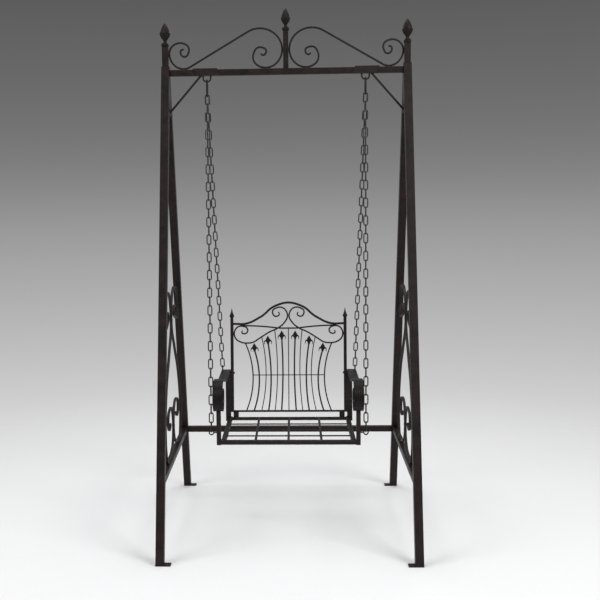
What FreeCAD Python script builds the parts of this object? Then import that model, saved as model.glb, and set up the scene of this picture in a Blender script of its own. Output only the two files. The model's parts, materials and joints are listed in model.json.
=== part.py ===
import FreeCAD, Part
import math
import os
import Sketcher

from FreeCAD import Placement, Rotation, Vector

os.makedirs("parts", exist_ok=True)
doc = FreeCAD.newDocument("swing_chair")

# Driving dimensions, millimetres
# X runs across the swing, Y from front to back, Z up from the floor.

sizes = {
    # stand
    "frame_width": 968,
    "leg_size": 32,
    "tube_wall": 1.5,
    "leg_spread": 505,
    "head_height": 1888,
    "head_post_length": 198,
    "head_cap_thickness": 3,
    "foot_plate_thickness": 4,
    "foot_plate_tab": 25,
    "upper_post_size": 25,
    "upper_post_length": 78,
    "finial_width": 46,
    "finial_height": 94,
    "beam_size": 25,
    "beam_height": 1861,
    "centre_post_size": 21,
    "centre_post_length": 149,
    "centre_finial_width": 40,
    "centre_finial_height": 86,
    "sleeve_size": 33,
    "sleeve_length": 112,
    "sleeve_taper": 14,
    "side_rail_size": 25,
    "side_rail_height": 291,
    "brace_size": 8,
    "brace_clearance": 2.5,
    "brace_drop": 142,
    # wrought scrolls of the stand
    "beam_scroll_bar": 7.5,
    "beam_scroll_depth": 7.5,
    "beam_scroll_peak": 2032,
    "side_scroll_bar": 5,
    "side_scroll_depth": 11,
    "side_scroll_reach": 262,
    "side_scroll_top": 985,
    # hangers and chains
    "hanger_spacing": 636,
    "staple_rod": 6.6,
    "staple_width": 37,
    "staple_drop": 30,
    "ring_rod": 7,
    "ring_width": 32,
    "ring_length": 72,
    "ring_chain_offset": 5,
    "chain_wire": 4.7,
    "chain_link_width": 20,
    "chain_link_pitch": 35.3,
    "eye_rod": 5,
    "eye_width": 22,
    "front_eye_height": 441,
    "rear_eye_outset": 14,
    # seat and arms
    "seat_width": 532,
    "seat_front_reach": 240,
    "seat_rear_reach": 205,
    "seat_front_height": 402,
    "seat_rear_height": 391,
    "seat_front_rail_diameter": 20,
    "seat_rear_rail_diameter": 15,
    "seat_side_rail_size": 18,
    "seat_rod_diameter": 6,
    "seat_slat_width": 9.5,
    "seat_slat_thickness": 4,
    "seat_slat_spacing": 130,
    "arm_post_size": 17,
    "arm_outset": 7.8,
    "arm_rear_post_size": 12,
    "arm_rear_strut_width": 10,
    "arm_band_width": 40,
    "arm_band_thickness": 5,
    "arm_front_height": 650,
    "arm_rear_height": 606,
    "arm_rear_reach": 30,
    "arm_roll_diameter": 122,
    # back
    "back_lean_run": 49,
    "back_post_size": 13,
    "back_post_inset": 19,
    "back_post_drop": 78,
    "back_post_foot": 20.8,
    "back_finial_width": 20,
    "back_finial_height": 46,
    "back_height": 508,
    "back_depth": 10,
    "camel_rail_bar": 9.5,
    "bottom_rail_bar": 8,
    "bottom_rail_rise": 33.5,
    "back_scroll_bar": 6.5,
    "spear_bar_width": 6.5,
    "thin_bar_width": 4,
    "outer_bar_width": 5.5,
    "lug_width": 23,
    "lug_inset": 34.5,
    "lug_depth": 8,
    "spear_width": 37,
    "spear_height": 40,
    "mid_rod_diameter": 4,
    "mid_rod_rise": 191,
    # bolts that hold the back to the arms
    "bolt_shank": 6,
    "bolt_head_width": 10,
    "bolt_head_height": 4,
    "bolt_drop": 9,
    # fits
    "weld_gap": 0.3,
    "overrun": 5,
}

sheet = doc.addObject("Spreadsheet::Sheet", "Sizes")
for row, (alias, value) in enumerate(sizes.items(), start=1):
    sheet.set("A" + str(row), alias)
    sheet.set("B" + str(row), str(value))
    sheet.setAlias("B" + str(row), alias)
doc.recompute()

kept = []


def size(alias):
    return float(sheet.get(alias))


def cell(alias):
    return "Sizes." + alias


def keep(piece):
    kept.append(piece)
    return piece


gap = size("weld_gap")
side_x = size("frame_width") / 2


# Straight bars and tubes

def rectangle(sketch, width, depth):
    """A rectangle about the sketch's origin, its two sizes bound to expressions."""
    half = size("leg_size")
    corners = [Vector(half * x, half * y, 0) for x, y in ((-1, -1), (1, -1), (1, 1), (-1, 1))]
    first = sketch.GeometryCount
    for i in range(4):
        sketch.addGeometry(Part.LineSegment(corners[i], corners[(i + 1) % 4]), False)
    for i in range(4):
        sketch.addConstraint(Sketcher.Constraint("Coincident", first + i, 2, first + (i + 1) % 4, 1))
    for i in (0, 2):
        sketch.addConstraint(Sketcher.Constraint("Horizontal", first + i))
    for i in (1, 3):
        sketch.addConstraint(Sketcher.Constraint("Vertical", first + i))
    sketch.addConstraint(Sketcher.Constraint("Symmetric", first, 1, first + 1, 2, -1, 1))
    across = sketch.addConstraint(Sketcher.Constraint("DistanceX", first, 1, first, 2, 2 * half))
    along = sketch.addConstraint(Sketcher.Constraint("DistanceY", first + 1, 1, first + 1, 2, 2 * half))
    sketch.setExpression("Constraints[" + str(across) + "]", width)
    sketch.setExpression("Constraints[" + str(along) + "]", depth)


def squareBar(label, side, length, base, direction, wall=None, depth=None):
    """A square or flat bar, or a square tube where a wall is given, padded along a direction."""
    body = doc.addObject("PartDesign::Body", label)
    section = body.newObject("Sketcher::SketchObject", label + "_section")
    floor = [plane for plane in body.Origin.OriginFeatures if plane.Role == "XY_Plane"][0]
    section.AttachmentSupport = [(floor, "")]
    section.MapMode = "FlatFace"
    rectangle(section, side, depth or side)
    if wall:
        inner = side + " - 2 * " + wall
        rectangle(section, inner, inner)
    pad = body.newObject("PartDesign::Pad", label + "_pad")
    pad.Profile = section
    pad.setExpression("Length", length)
    body.Placement = Placement(base, Rotation(Vector(0, 0, 1), direction))
    return body


def roundBar(label, diameter, length, base, direction):
    bar = doc.addObject("Part::Cylinder", label)
    bar.setExpression("Radius", "(" + diameter + ") / 2")
    bar.setExpression("Height", length)
    bar.Placement = Placement(base, Rotation(Vector(0, 0, 1), direction))
    return bar


def prism(label, sides, diameter, length, base, direction):
    """A thin rod or hole, round but for a few flat sides."""
    bar = doc.addObject("Part::Prism", label)
    bar.Polygon = sides
    bar.setExpression("Circumradius", "(" + diameter + ") / 2")
    bar.setExpression("Height", length)
    bar.Placement = Placement(base, Rotation(Vector(0, 0, 1), direction))
    return bar


def block(label, width, depth, height, base):
    box = doc.addObject("Part::Box", label)
    box.setExpression("Length", width)
    box.setExpression("Width", depth)
    box.setExpression("Height", height)
    box.Placement = Placement(base, Rotation())
    return box


def profile(label, face, depth, middle=True):
    """A flat outline pushed along its normal, half to each side."""
    outline = doc.addObject("Part::Feature", label + "_outline")
    outline.Shape = face
    push = doc.addObject("Part::Extrusion", label)
    push.Base = outline
    push.DirMode = "Normal"
    push.Solid = True
    push.Symmetric = middle
    push.setExpression("LengthFwd", depth)
    return push


def group(label, pieces):
    joined = doc.addObject("Part::Compound", label)
    joined.Links = pieces
    return joined


def solid(label, shape, placement=None):
    piece = doc.addObject("Part::Feature", label)
    piece.Shape = shape
    if placement:
        piece.Placement = placement
    return piece


# Smooth forged curves: each pair of points is joined by two tangent arcs, which are cut into chords

chords_per_turn = 12


def direction2(angle):
    return (math.cos(math.radians(angle)), math.sin(math.radians(angle)))


def tangentThrough(a, b, c):
    """Direction at b of the circle through a, b and c."""
    ab = (b[0] - a[0], b[1] - a[1])
    bc = (c[0] - b[0], c[1] - b[1])
    first = math.hypot(*ab)
    second = math.hypot(*bc)
    tx = ab[0] / first * second + bc[0] / second * first
    ty = ab[1] / first * second + bc[1] / second * first
    length = math.hypot(tx, ty)
    return (tx / length, ty / length)


def endTangent(near, far, known):
    """Direction at an end, which mirrors the known one about the chord."""
    cx, cy = far[0] - near[0], far[1] - near[1]
    length = math.hypot(cx, cy)
    cx, cy = cx / length, cy / length
    along = known[0] * cx + known[1] * cy
    return (2 * along * cx - known[0], 2 * along * cy - known[1])


def curveDirections(points):
    directions = []
    for i, point in enumerate(points):
        if len(point) > 2:
            directions.append(direction2(point[2]))
        elif 0 < i < len(points) - 1:
            directions.append(tangentThrough(points[i - 1], point, points[i + 1]))
        else:
            directions.append(None)
    if directions[0] is None:
        directions[0] = endTangent(points[0], points[1], directions[1])
    if directions[-1] is None:
        directions[-1] = endTangent(points[-2], points[-1], directions[-2])
    return directions


def biarcJoint(p, t, q, u):
    """The point where the two arcs from p and to q meet."""
    v = (q[0] - p[0], q[1] - p[1])
    both = (t[0] + u[0], t[1] + u[1])
    vt = v[0] * both[0] + v[1] * both[1]
    vv = v[0] ** 2 + v[1] ** 2
    spread = 2 * (1 - t[0] * u[0] - t[1] * u[1])
    if spread < 1e-9:
        reach = vv / (2 * vt)
    else:
        reach = (math.sqrt(vt ** 2 + spread * vv) - vt) / spread
    return (
        (p[0] + q[0] + reach * (t[0] - u[0])) / 2,
        (p[1] + q[1] + reach * (t[1] - u[1])) / 2,
    )


def polygonFace(points, plane):
    corners = [plane(*point) for point in points]
    return Part.Face(Part.makePolygon(corners + corners[:1]))


def arcPoints(p, t, q, half):
    """Both sides of a bar along the arc from p, in direction t, to q, as chords of an even turn."""
    nx, ny = -t[1], t[0]
    cx, cy = q[0] - p[0], q[1] - p[1]
    chord = cx ** 2 + cy ** 2
    side = nx * cx + ny * cy
    if abs(side) < 1e-6 * chord:
        return [((x + nx * half, y + ny * half), (x - nx * half, y - ny * half)) for x, y in (p, q)]
    radius = chord / (2 * side)
    mx, my = p[0] + nx * radius, p[1] + ny * radius
    start = math.atan2(p[1] - my, p[0] - mx)
    turn = 2 * math.atan2(side, t[0] * cx + t[1] * cy)
    count = max(1, math.ceil(abs(turn) / (2 * math.pi) * chords_per_turn - 0.01))
    bend = math.copysign(half, radius)
    pairs = []
    for i in range(count + 1):
        angle = start + turn * i / count
        ux, uy = math.cos(angle), math.sin(angle)
        near, far = abs(radius) - bend, abs(radius) + bend
        pairs.append(((mx + near * ux, my + near * uy), (mx + far * ux, my + far * uy)))
    return pairs


def levelled(a, b, level):
    """The point at a height on the line from a through b."""
    share = (level - a[1]) / (b[1] - a[1])
    return (a[0] + share * (b[0] - a[0]), level)


def ribbonFace(points, thickness, plane, level=None):
    """The flat outline of a bar of even thickness along a smooth curve, its far end cut level if asked."""
    directions = curveDirections(points)
    pairs = []
    for i in range(len(points) - 1):
        p, q = points[i][:2], points[i + 1][:2]
        t, u = directions[i], directions[i + 1]
        joint = biarcJoint(p, t, q, u)
        middle = endTangent(p, joint, t)
        pairs += arcPoints(p, t, joint, thickness / 2)[:-1]
        pairs += arcPoints(joint, middle, q, thickness / 2)[:-1]
        last = arcPoints(joint, middle, q, thickness / 2)[-1]
    if level is not None:
        last = tuple(levelled(pairs[-1][k], last[k], level) for k in (0, 1))
    pairs.append(last)
    return polygonFace([pair[0] for pair in pairs] + [pair[1] for pair in pairs[::-1]], plane)


def planeXZ(x, z):
    return Vector(x, 0, z)


def planeYZ(y, z):
    return Vector(0, y, z)


# Finials: faceted buds, each a stack of many-sided sections

def bud(sides, stack):
    """A faceted solid through sections of (height, radius, radius of every second corner)."""
    rings = []
    for height, radius, valley in stack:
        corners = []
        for i in range(sides):
            angle = 2 * math.pi * i / sides
            reach = valley if i % 2 else radius
            corners.append(Vector(reach * math.cos(angle), reach * math.sin(angle), height))
        rings.append(corners)
    faces = [Part.Face(Part.makePolygon(ring + ring[:1])) for ring in (rings[0], rings[-1])]
    for low, high in zip(rings, rings[1:]):
        for i in range(sides):
            j = (i + 1) % sides
            for corners in ((low[i], low[j], high[j]), (low[i], high[j], high[i])):
                faces.append(Part.Face(Part.makePolygon(list(corners) + [corners[0]])))
    return Part.makeSolid(Part.makeShell(faces))


# height share, width share, width share at the hollows between the leaves
acorn_shares = [
    (0.15, 0.30, 0.30),
    (0.23, 0.30, 0.30),
    (0.32, 0.52, 0.50),
    (0.47, 0.86, 0.80),
    (0.60, 1.00, 0.84),
    (0.63, 0.84, 0.80),
    (0.75, 0.70, 0.68),
    (0.88, 0.42, 0.40),
    (1.00, 0.08, 0.08),
]
collar_height_share = 0.15
collar_width_share = 0.76


def acorn(width, height):
    half = width * collar_width_share / 2
    collar = Part.makeBox(2 * half, 2 * half, height * collar_height_share, Vector(-half, -half, 0))
    stack = [(height * z, width / 2 * r, width / 2 * v) for z, r, v in acorn_shares]
    return collar.fuse(bud(12, stack)).removeSplitter()


# Stand

leg_half = size("leg_size") / 2
head_top = size("head_height")
lean_run = size("leg_spread")
# The leg's outer edge meets the head post at its top.
leg_slope = (lean_run + leg_half / math.cos(math.atan(lean_run / head_top)) - leg_half) / head_top
leg_cos = math.cos(math.atan(leg_slope))


def legAxis(z):
    return lean_run - leg_slope * z


def legEdge(z, half):
    return legAxis(z) + half / leg_cos


def heightAtEdge(y, half):
    return (lean_run + half / leg_cos - y) / leg_slope


def leg(label, x, front):
    """A leaning tube, cut level on its foot and upright against the head post."""
    plate = size("foot_plate_thickness")
    wall = size("tube_wall")
    over = size("overrun")

    def shape(half, low, near):
        return [
            (front * legEdge(low, -half), low),
            (front * legEdge(low, half), low),
            (front * near, heightAtEdge(near, half)),
            (front * near, heightAtEdge(near, -half)),
        ]
    outer_face = polygonFace(shape(leg_half, plate, leg_half), planeYZ)
    outer = profile(label + "_outer", outer_face, cell("leg_size"))
    inner_face = polygonFace(shape(leg_half - wall, plate - over, leg_half - over), planeYZ)
    inner = profile(label + "_inner", inner_face, cell("leg_size") + " - 2 * " + cell("tube_wall"))
    cut = doc.addObject("Part::Cut", label)
    cut.Base = outer
    cut.Tool = inner
    cut.Placement = Placement(Vector(x, 0, 0), Rotation())
    return keep(cut)


for side_name, side in (("left", -1), ("right", 1)):
    leg(side_name + "_front_leg", side * side_x, -1)
    leg(side_name + "_rear_leg", side * side_x, 1)


def footPlates():
    """Four flat feet, each with a tab that reaches inwards from its leg."""
    plates = []
    length = cell("leg_size") + " + " + cell("foot_plate_tab")
    foot_y = legAxis(size("foot_plate_thickness"))
    span = leg_half / leg_cos
    for sign_x in (-1, 1):
        for sign_y in (-1, 1):
            inner = side_x - leg_half - size("foot_plate_tab")
            x = inner if sign_x > 0 else -side_x - leg_half
            y = sign_y * foot_y - span
            plates.append(block(
                "foot_plate_" + str(len(plates)), length, cell("leg_size"), cell("foot_plate_thickness"),
                Vector(x, y, 0),
            ))
    return keep(group("foot_plates", plates))


footPlates()

for side_name, side in (("left", -1), ("right", 1)):
    keep(squareBar(
        side_name + "_head_post", cell("leg_size"),
        cell("head_post_length") + " - " + cell("head_cap_thickness"),
        Vector(side * side_x, 0, head_top - size("head_post_length")), Vector(0, 0, 1), cell("tube_wall"),
    ))
    keep(squareBar(
        side_name + "_upper_post", cell("upper_post_size"), cell("upper_post_length"),
        Vector(side * side_x, 0, head_top), Vector(0, 0, 1), cell("tube_wall"),
    ))
    keep(solid(
        side_name + "_finial", acorn(size("finial_width"), size("finial_height")),
        Placement(Vector(side * side_x, 0, head_top + size("upper_post_length")), Rotation()),
    ))


def headCaps():
    """Plates that close the head posts and carry the upper posts."""
    caps = []
    for side in (-1, 1):
        base = Vector(side * side_x - leg_half, -leg_half, head_top - size("head_cap_thickness"))
        name = "head_cap_" + str(len(caps))
        caps.append(block(name, cell("leg_size"), cell("leg_size"), cell("head_cap_thickness"), base))
    return keep(group("head_caps", caps))


headCaps()

beam_top = size("beam_height") + size("beam_size") / 2
beam_bottom = size("beam_height") - size("beam_size") / 2
beam_end = side_x - leg_half

keep(squareBar(
    "top_beam", cell("beam_size"), cell("frame_width") + " - " + cell("leg_size"),
    Vector(-beam_end, 0, size("beam_height")), Vector(1, 0, 0), cell("tube_wall"),
))
keep(squareBar(
    "centre_post", cell("centre_post_size"), cell("centre_post_length"),
    Vector(0, 0, beam_top), Vector(0, 0, 1), cell("tube_wall"),
))
keep(solid(
    "centre_finial", acorn(size("centre_finial_width"), size("centre_finial_height")),
    Placement(Vector(0, 0, beam_top + size("centre_post_length")), Rotation()),
))


hanger_x = size("hanger_spacing") / 2


def hangerSleeve(label, x):
    """A folded saddle over the beam with slanted ends, open below."""
    half = size("sleeve_size") / 2
    low = -size("beam_size") / 2
    long_half = size("sleeve_length") / 2
    taper = size("sleeve_taper")
    outline = [(-long_half + taper, half), (-long_half, low), (long_half - taper, low), (long_half, half)]
    body = profile(label + "_body", polygonFace(outline, planeXZ), cell("sleeve_size"))
    hole = block(
        label + "_hole",
        cell("sleeve_length") + " + 2 * " + cell("overrun"),
        cell("beam_size") + " + 2 * " + cell("weld_gap"),
        cell("beam_size") + " + " + cell("weld_gap") + " + " + cell("overrun"),
        Vector(-long_half - size("overrun"), low - gap, low - size("overrun")),
    )
    cut = doc.addObject("Part::Cut", label)
    cut.Base = body
    cut.Tool = hole
    turn = Rotation(Vector(0, 0, 1), 90 - x / hanger_x * 90)
    cut.Placement = Placement(Vector(x, 0, size("beam_height")), turn)
    return cut


keep(group("hanger_sleeves", [
    hangerSleeve("left_sleeve", -hanger_x), hangerSleeve("right_sleeve", hanger_x),
]))

# The rod of each staple carries its ring on a straight bottom, which is the swing's pivot.
pivot_height = beam_bottom - size("staple_drop") + size("staple_rod")


def staple(label, x):
    rod = size("staple_rod")
    half = (size("staple_width") - rod) / 2
    corner = half / 2
    low = pivot_height
    route = [
        Vector(-half, 0, beam_bottom),
        Vector(-half, 0, low + corner),
        Vector(-half + corner, 0, low),
        Vector(half - corner, 0, low),
        Vector(half, 0, low + corner),
        Vector(half, 0, beam_bottom),
    ]
    spine = Part.makePolygon(route)
    corners = []
    for i in range(9):
        angle = math.pi / 4 * (i + 0.5)
        corners.append(route[0] + Vector(rod / 2 * math.cos(angle), rod / 2 * math.sin(angle), 0))
    section = Part.makePolygon(corners)
    bent = spine.makePipeShell([section], True, False, 1)
    return solid(label, bent, Placement(Vector(x, 0, 0), Rotation()))


keep(group("hanger_staples", [staple("left_staple", -hanger_x), staple("right_staple", hanger_x)]))


def cornerBrace(label, side):
    """A straight square bar from beside the staple down to the head post, with both ends cut to seat."""
    top_x = hanger_x + size("staple_width") / 2 + size("brace_size") / 2 + size("brace_clearance")
    low_z = beam_bottom - size("brace_drop")
    dx = beam_end - top_x
    dz = low_z - beam_bottom
    length = math.hypot(dx, dz)
    half = size("brace_size") / 2
    across = half * length / abs(dz)
    down = half * length / dx
    outline = [
        (side * (top_x - across), beam_bottom),
        (side * (top_x + across), beam_bottom),
        (side * beam_end, low_z + down),
        (side * beam_end, low_z - down),
    ]
    return profile(label, polygonFace(outline, planeXZ), cell("brace_size"))


keep(group("corner_braces", [cornerBrace("left_brace", -1), cornerBrace("right_brace", 1)]))

# x share from the centre post out to the side post, z share from the beam up, direction where it matters
beam_scroll_shares = [
    (0.900, 0.450),
    (0.875, 0.314),
    (0.825, 0.463),
    (0.904, 0.663, 0),
    (1.000, 0.392, -90),
    (0.875, 0.000, 180),
    (0.602, 0.411),
    (0.306, 0.909),
    (0.197, 1.000, 180),
    (0.000, 0.456, -90),
    (0.147, 0.000, 0),
    (0.257, 0.301),
    (0.193, 0.521),
    (0.140, 0.405),
    (0.158, 0.327),
]


def spread(table, low_x, high_x, low_z, high_z):
    """Turns a table of shares into points of a box; a direction stays as it is."""
    points = []
    for entry in table:
        x = low_x + entry[0] * (high_x - low_x)
        z = low_z + entry[1] * (high_z - low_z)
        points.append((x, z) + tuple(entry[2:]))
    return points


def flipped(points):
    """The same curve mirrored across its second axis."""
    return [(-p[0], p[1]) + ((180 - p[2],) if len(p) > 2 else ()) for p in points]


def beamScroll(label, side):
    bar = size("beam_scroll_bar")
    off = bar / 2 + gap
    points = spread(
        beam_scroll_shares,
        size("centre_post_size") / 2 + off, side_x - size("upper_post_size") / 2 - off,
        beam_top + off, size("beam_scroll_peak"),
    )
    if side < 0:
        points = flipped(points)
    return keep(profile(label, ribbonFace(points, bar, planeXZ), cell("beam_scroll_depth")))


beamScroll("left_beam_scroll", -1)
beamScroll("right_beam_scroll", 1)

rail_height = size("side_rail_height")
rail_half = size("side_rail_size") / 2


def sideRail(label, x):
    """A level tube between the two legs, its ends cut to their slant."""
    wall = size("tube_wall")

    def shape(half, past):
        low, high = rail_height - half, rail_height + half
        return [
            (-legEdge(low, -leg_half) - past, low),
            (legEdge(low, -leg_half) + past, low),
            (legEdge(high, -leg_half) + past, high),
            (-legEdge(high, -leg_half) - past, high),
        ]
    outer = profile(label + "_outer", polygonFace(shape(rail_half, 0), planeYZ), cell("side_rail_size"))
    inner = profile(
        label + "_inner", polygonFace(shape(rail_half - wall, size("overrun")), planeYZ),
        cell("side_rail_size") + " - 2 * " + cell("tube_wall"),
    )
    cut = doc.addObject("Part::Cut", label)
    cut.Base = outer
    cut.Tool = inner
    cut.Placement = Placement(Vector(x, 0, 0), Rotation())
    return keep(cut)


sideRail("left_side_rail", -side_x)
sideRail("right_side_rail", side_x)
keep(squareBar(
    "rear_crossbar", cell("side_rail_size"), cell("frame_width") + " - " + cell("leg_size"),
    Vector(-beam_end, legAxis(rail_height), rail_height), Vector(1, 0, 0), cell("tube_wall"),
))

# y share from the middle of the side frame out, z share from the side rail up
upper_curl_shares = [(0.466, 0.883), (0.355, 0.855), (0.534, 0.802)]
leg_touch_share = 0.870
side_scroll_shares = [
    (0.420, 1.000, 180),
    (0.000, 0.816, -90),
    (0.382, 0.609),
    (0.737, 0.464),
    (1.000, 0.195),
    (0.981, 0.109),
    (0.763, 0.000, 180),
    (0.000, 0.159, 90),
    (0.324, 0.295, 0),
    (0.649, 0.229, -90),
    (0.420, 0.185),
]


def sideScrolls(name, x):
    """Two mirrored flat-bar scrolls, back to back, which touch the legs and stand on the rail."""
    bar = size("side_scroll_bar")
    off = bar / 2 + gap
    box = (
        (bar + gap) / 2, size("side_scroll_reach"), rail_height + rail_half + off, size("side_scroll_top"),
    )
    touch_z = box[2] + leg_touch_share * (box[3] - box[2])
    touch = (legEdge(touch_z, -leg_half) - off / leg_cos, touch_z, 90 + math.degrees(math.atan(leg_slope)))
    points = spread(upper_curl_shares, *box) + [touch] + spread(side_scroll_shares, *box)
    for end, curve in (("front", flipped(points)), ("rear", points)):
        face = ribbonFace(curve, bar, planeYZ)
        scroll = profile(name + "_" + end + "_scroll", face, cell("side_scroll_depth"))
        scroll.Placement = Placement(Vector(x, 0, 0), Rotation())
        keep(scroll)


sideScrolls("left", -side_x)
sideScrolls("right", side_x)


# Hanging rings and chains

ring_top = pivot_height + size("staple_rod") / 2 + gap + size("ring_rod")
ring_rod = size("ring_rod")


# corners of the loops, as shares of the rod
ring_corner_share = 1.1
ring_window_share = 0.3
link_corner_share = 0.72
eye_corner_share = 1.32
eye_window_share = 0.72


def loopFace(width, length, corner, rod, inner_corner, plane):
    """An eight-cornered loop about the origin with a window through it."""
    def outline(half_width, half_length, cut):
        points = []
        for sx, sz, first in ((1, -1, 0), (1, 1, 1), (-1, 1, 0), (-1, -1, 1)):
            near = (sx * half_width, sz * (half_length - cut))
            far = (sx * (half_width - cut), sz * half_length)
            pair = [near, far] if first else [far, near]
            points += pair if cut else [(sx * half_width, sz * half_length)]
        return Part.makePolygon([plane(*p) for p in points + points[:1]])
    outer = Part.Face(outline(width / 2, length / 2, corner))
    window = Part.Face(outline(width / 2 - rod, length / 2 - rod, inner_corner))
    return outer.cut(window)


def hangingRing(label, x):
    """A long ring on the staple, edge-on from the front, which carries both chains."""
    face = loopFace(
        size("ring_width"), size("ring_length"), ring_rod * ring_corner_share, ring_rod,
        ring_rod * ring_window_share, planeYZ,
    )
    ring = profile(label, face, cell("ring_rod"))
    ring.Placement = Placement(Vector(x, 0, ring_top - size("ring_length") / 2), Rotation())
    return keep(ring)


hangingRing("left_hanging_ring", -hanger_x)
hangingRing("right_hanging_ring", hanger_x)

ring_bar_height = ring_top - size("ring_length") + ring_rod / 2
eye_rod = size("eye_rod")
eye_bar_rise = (size("eye_width") - eye_rod) / 2


def seatReach(run, across, thick, bar_half):
    """How far past the bar's middle the link's inside end lies, clear of the bar by the gap."""
    up = Vector(0, 0, 1)
    side_reach = abs(thick.dot(up)) * size("chain_wire") / 2 + abs(across.dot(up)) * bar_half
    return (bar_half + gap + side_reach) / abs(run.dot(up))


def chain(label, start, end, turned_ends, parity):
    """Interlocked links, every second one turned a quarter, between two cross bars."""
    wire = size("chain_wire")
    run = (end - start).normalize()
    side_axis = Vector(1, 0, 0)
    side_axis = (side_axis - run * side_axis.dot(run)).normalize()
    flat_axis = run.cross(side_axis)
    start_reach = seatReach(run, side_axis, flat_axis, ring_rod / 2)
    if turned_ends:
        end_reach = seatReach(run, flat_axis, side_axis, eye_rod / 2)
    else:
        end_reach = seatReach(run, side_axis, flat_axis, eye_rod / 2)
    span = (end - start).Length + start_reach + end_reach
    # Each link overlaps the next by its wire, so the pitch is the inside length less the gap.
    count = parity + 2 * round((span / size("chain_link_pitch") - parity) / 2)
    inside = (span + (count - 1) * gap) / count
    length = inside + 2 * wire
    links = []
    for i in range(count):
        across = flat_axis if i % 2 else side_axis
        through = run.cross(across)
        middle = start + run * (i * (inside - gap) + inside / 2 - start_reach)

        def place(u, v):
            return across * u + run * v - through * (wire / 2)
        face = loopFace(size("chain_link_width"), length, wire * link_corner_share, wire, 0, place)
        link = face.extrude(through * wire)
        link.translate(middle)
        links.append(link)
    print(label, "links", count, "inside length", round(inside, 2))
    return keep(solid(label, Part.makeCompound(links)))


# The arm stands outside the seat, and the front chain passes just outside the arm.
seat_x = size("seat_width") / 2
arm_x = seat_x + size("arm_outset")
front_post_x = seat_x + gap + size("arm_post_size") / 2
post_outer_x = seat_x + gap + size("arm_post_size")
front_eye_x = arm_x + size("arm_band_width") / 2 + size("eye_width") / 2 - 2 * gap
rear_eye_x = arm_x + size("rear_eye_outset")
front_y = -size("seat_front_reach")
rear_y = size("seat_rear_reach")
arm_rear_eye_height = size("arm_rear_height") + eye_rod / 2 + size("eye_width") / 2

for side_name, side in (("left", -1), ("right", 1)):
    chain(
        side_name + "_front_chain",
        Vector(side * hanger_x, -size("ring_chain_offset"), ring_bar_height),
        Vector(side * front_eye_x, front_y, size("front_eye_height") + eye_bar_rise), True, 0,
    )
    chain(
        side_name + "_rear_chain",
        Vector(side * hanger_x, size("ring_chain_offset"), ring_bar_height),
        Vector(side * rear_eye_x, rear_y, arm_rear_eye_height + eye_bar_rise), False, 1,
    )


def eyeFace(plane):
    width = size("eye_width")
    return loopFace(width, width, eye_rod * eye_corner_share, eye_rod, eye_rod * eye_window_share, plane)


def frontEye(label, side):
    """An eye that faces forwards, on a shank from the arm's front post."""
    loop = eyeFace(planeXZ).extrude(Vector(0, eye_rod, 0))
    loop.translate(Vector(side * front_eye_x, front_y - eye_rod / 2, size("front_eye_height")))
    inner = post_outer_x
    outer = front_eye_x - size("eye_width") / 2 + eye_rod / 2
    low = min(side * inner, side * outer)
    shank = Part.makeBox(
        outer - inner, eye_rod, eye_rod,
        Vector(low, front_y - eye_rod / 2, size("front_eye_height") - eye_rod / 2),
    )
    return solid(label, loop.fuse(shank).removeSplitter())


def rearEye(label, side):
    """An eye that faces sideways, standing on the rear end of the arm."""
    loop = eyeFace(planeYZ).extrude(Vector(eye_rod, 0, 0))
    loop.translate(Vector(side * rear_eye_x - eye_rod / 2, rear_y, arm_rear_eye_height))
    foot = Part.makeBox(
        eye_rod, eye_rod, eye_rod,
        Vector(side * rear_eye_x - eye_rod / 2, rear_y - eye_rod / 2, size("arm_rear_height")),
    )
    return solid(label, loop.fuse(foot).removeSplitter())


keep(group("front_chain_eyes", [frontEye("left_front_eye", -1), frontEye("right_front_eye", 1)]))
keep(group("rear_chain_eyes", [rearEye("left_rear_eye", -1), rearEye("right_rear_eye", 1)]))

# Arms: a wide flat band that rolls over at the front, on two posts

arm_band = size("arm_band_thickness")
roll_radius = (size("arm_roll_diameter") - arm_band) / 2
roll_y = front_y
roll_z = size("arm_front_height") - size("arm_roll_diameter") / 2
# the part of the arm, from the rear, that stays level
arm_level_share = 0.42
# the turn inside the roll, y and z as shares of its radius from its middle, and the direction
roll_shares = [
    (-1.000, 0.000, -90),
    (0.000, -1.000, 0),
    (0.775, -0.062, 90),
    (-0.100, 0.465, 180),
    (-0.465, 0.000, -90),
    (0.000, -0.300),
]


def armBand(label, side):
    top = size("arm_front_height") - arm_band / 2
    low = size("arm_rear_height") - arm_band / 2
    points = [
        (rear_y + size("arm_rear_reach"), low, 180),
        (rear_y - arm_level_share * (rear_y - roll_y), low, 180),
        (roll_y, top, 180),
    ]
    points += spread(roll_shares, roll_y, roll_y + roll_radius, roll_z, roll_z + roll_radius)
    band = profile(label, ribbonFace(points, arm_band, planeYZ), cell("arm_band_width"))
    band.Placement = Placement(Vector(side * arm_x, 0, 0), Rotation())
    return keep(band)


armBand("left_arm", -1)
armBand("right_arm", 1)

front_post_low = size("seat_front_height") - size("seat_front_rail_diameter") / 2


def armFrontPosts():
    posts = []
    front_length = " - ".join([
        cell("arm_front_height"), cell("arm_roll_diameter"), cell("seat_front_height"), cell("weld_gap"),
    ]) + " + " + cell("seat_front_rail_diameter") + " / 2"
    for name, side in (("left", -1), ("right", 1)):
        posts.append(squareBar(
            name + "_arm_front_post", cell("arm_post_size"), front_length,
            Vector(side * front_post_x, front_y, front_post_low), Vector(0, 0, 1),
        ))
    return keep(group("arm_front_posts", posts))


armFrontPosts()

# Seat: an open grid in a plane that drops a little to the rear

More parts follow.
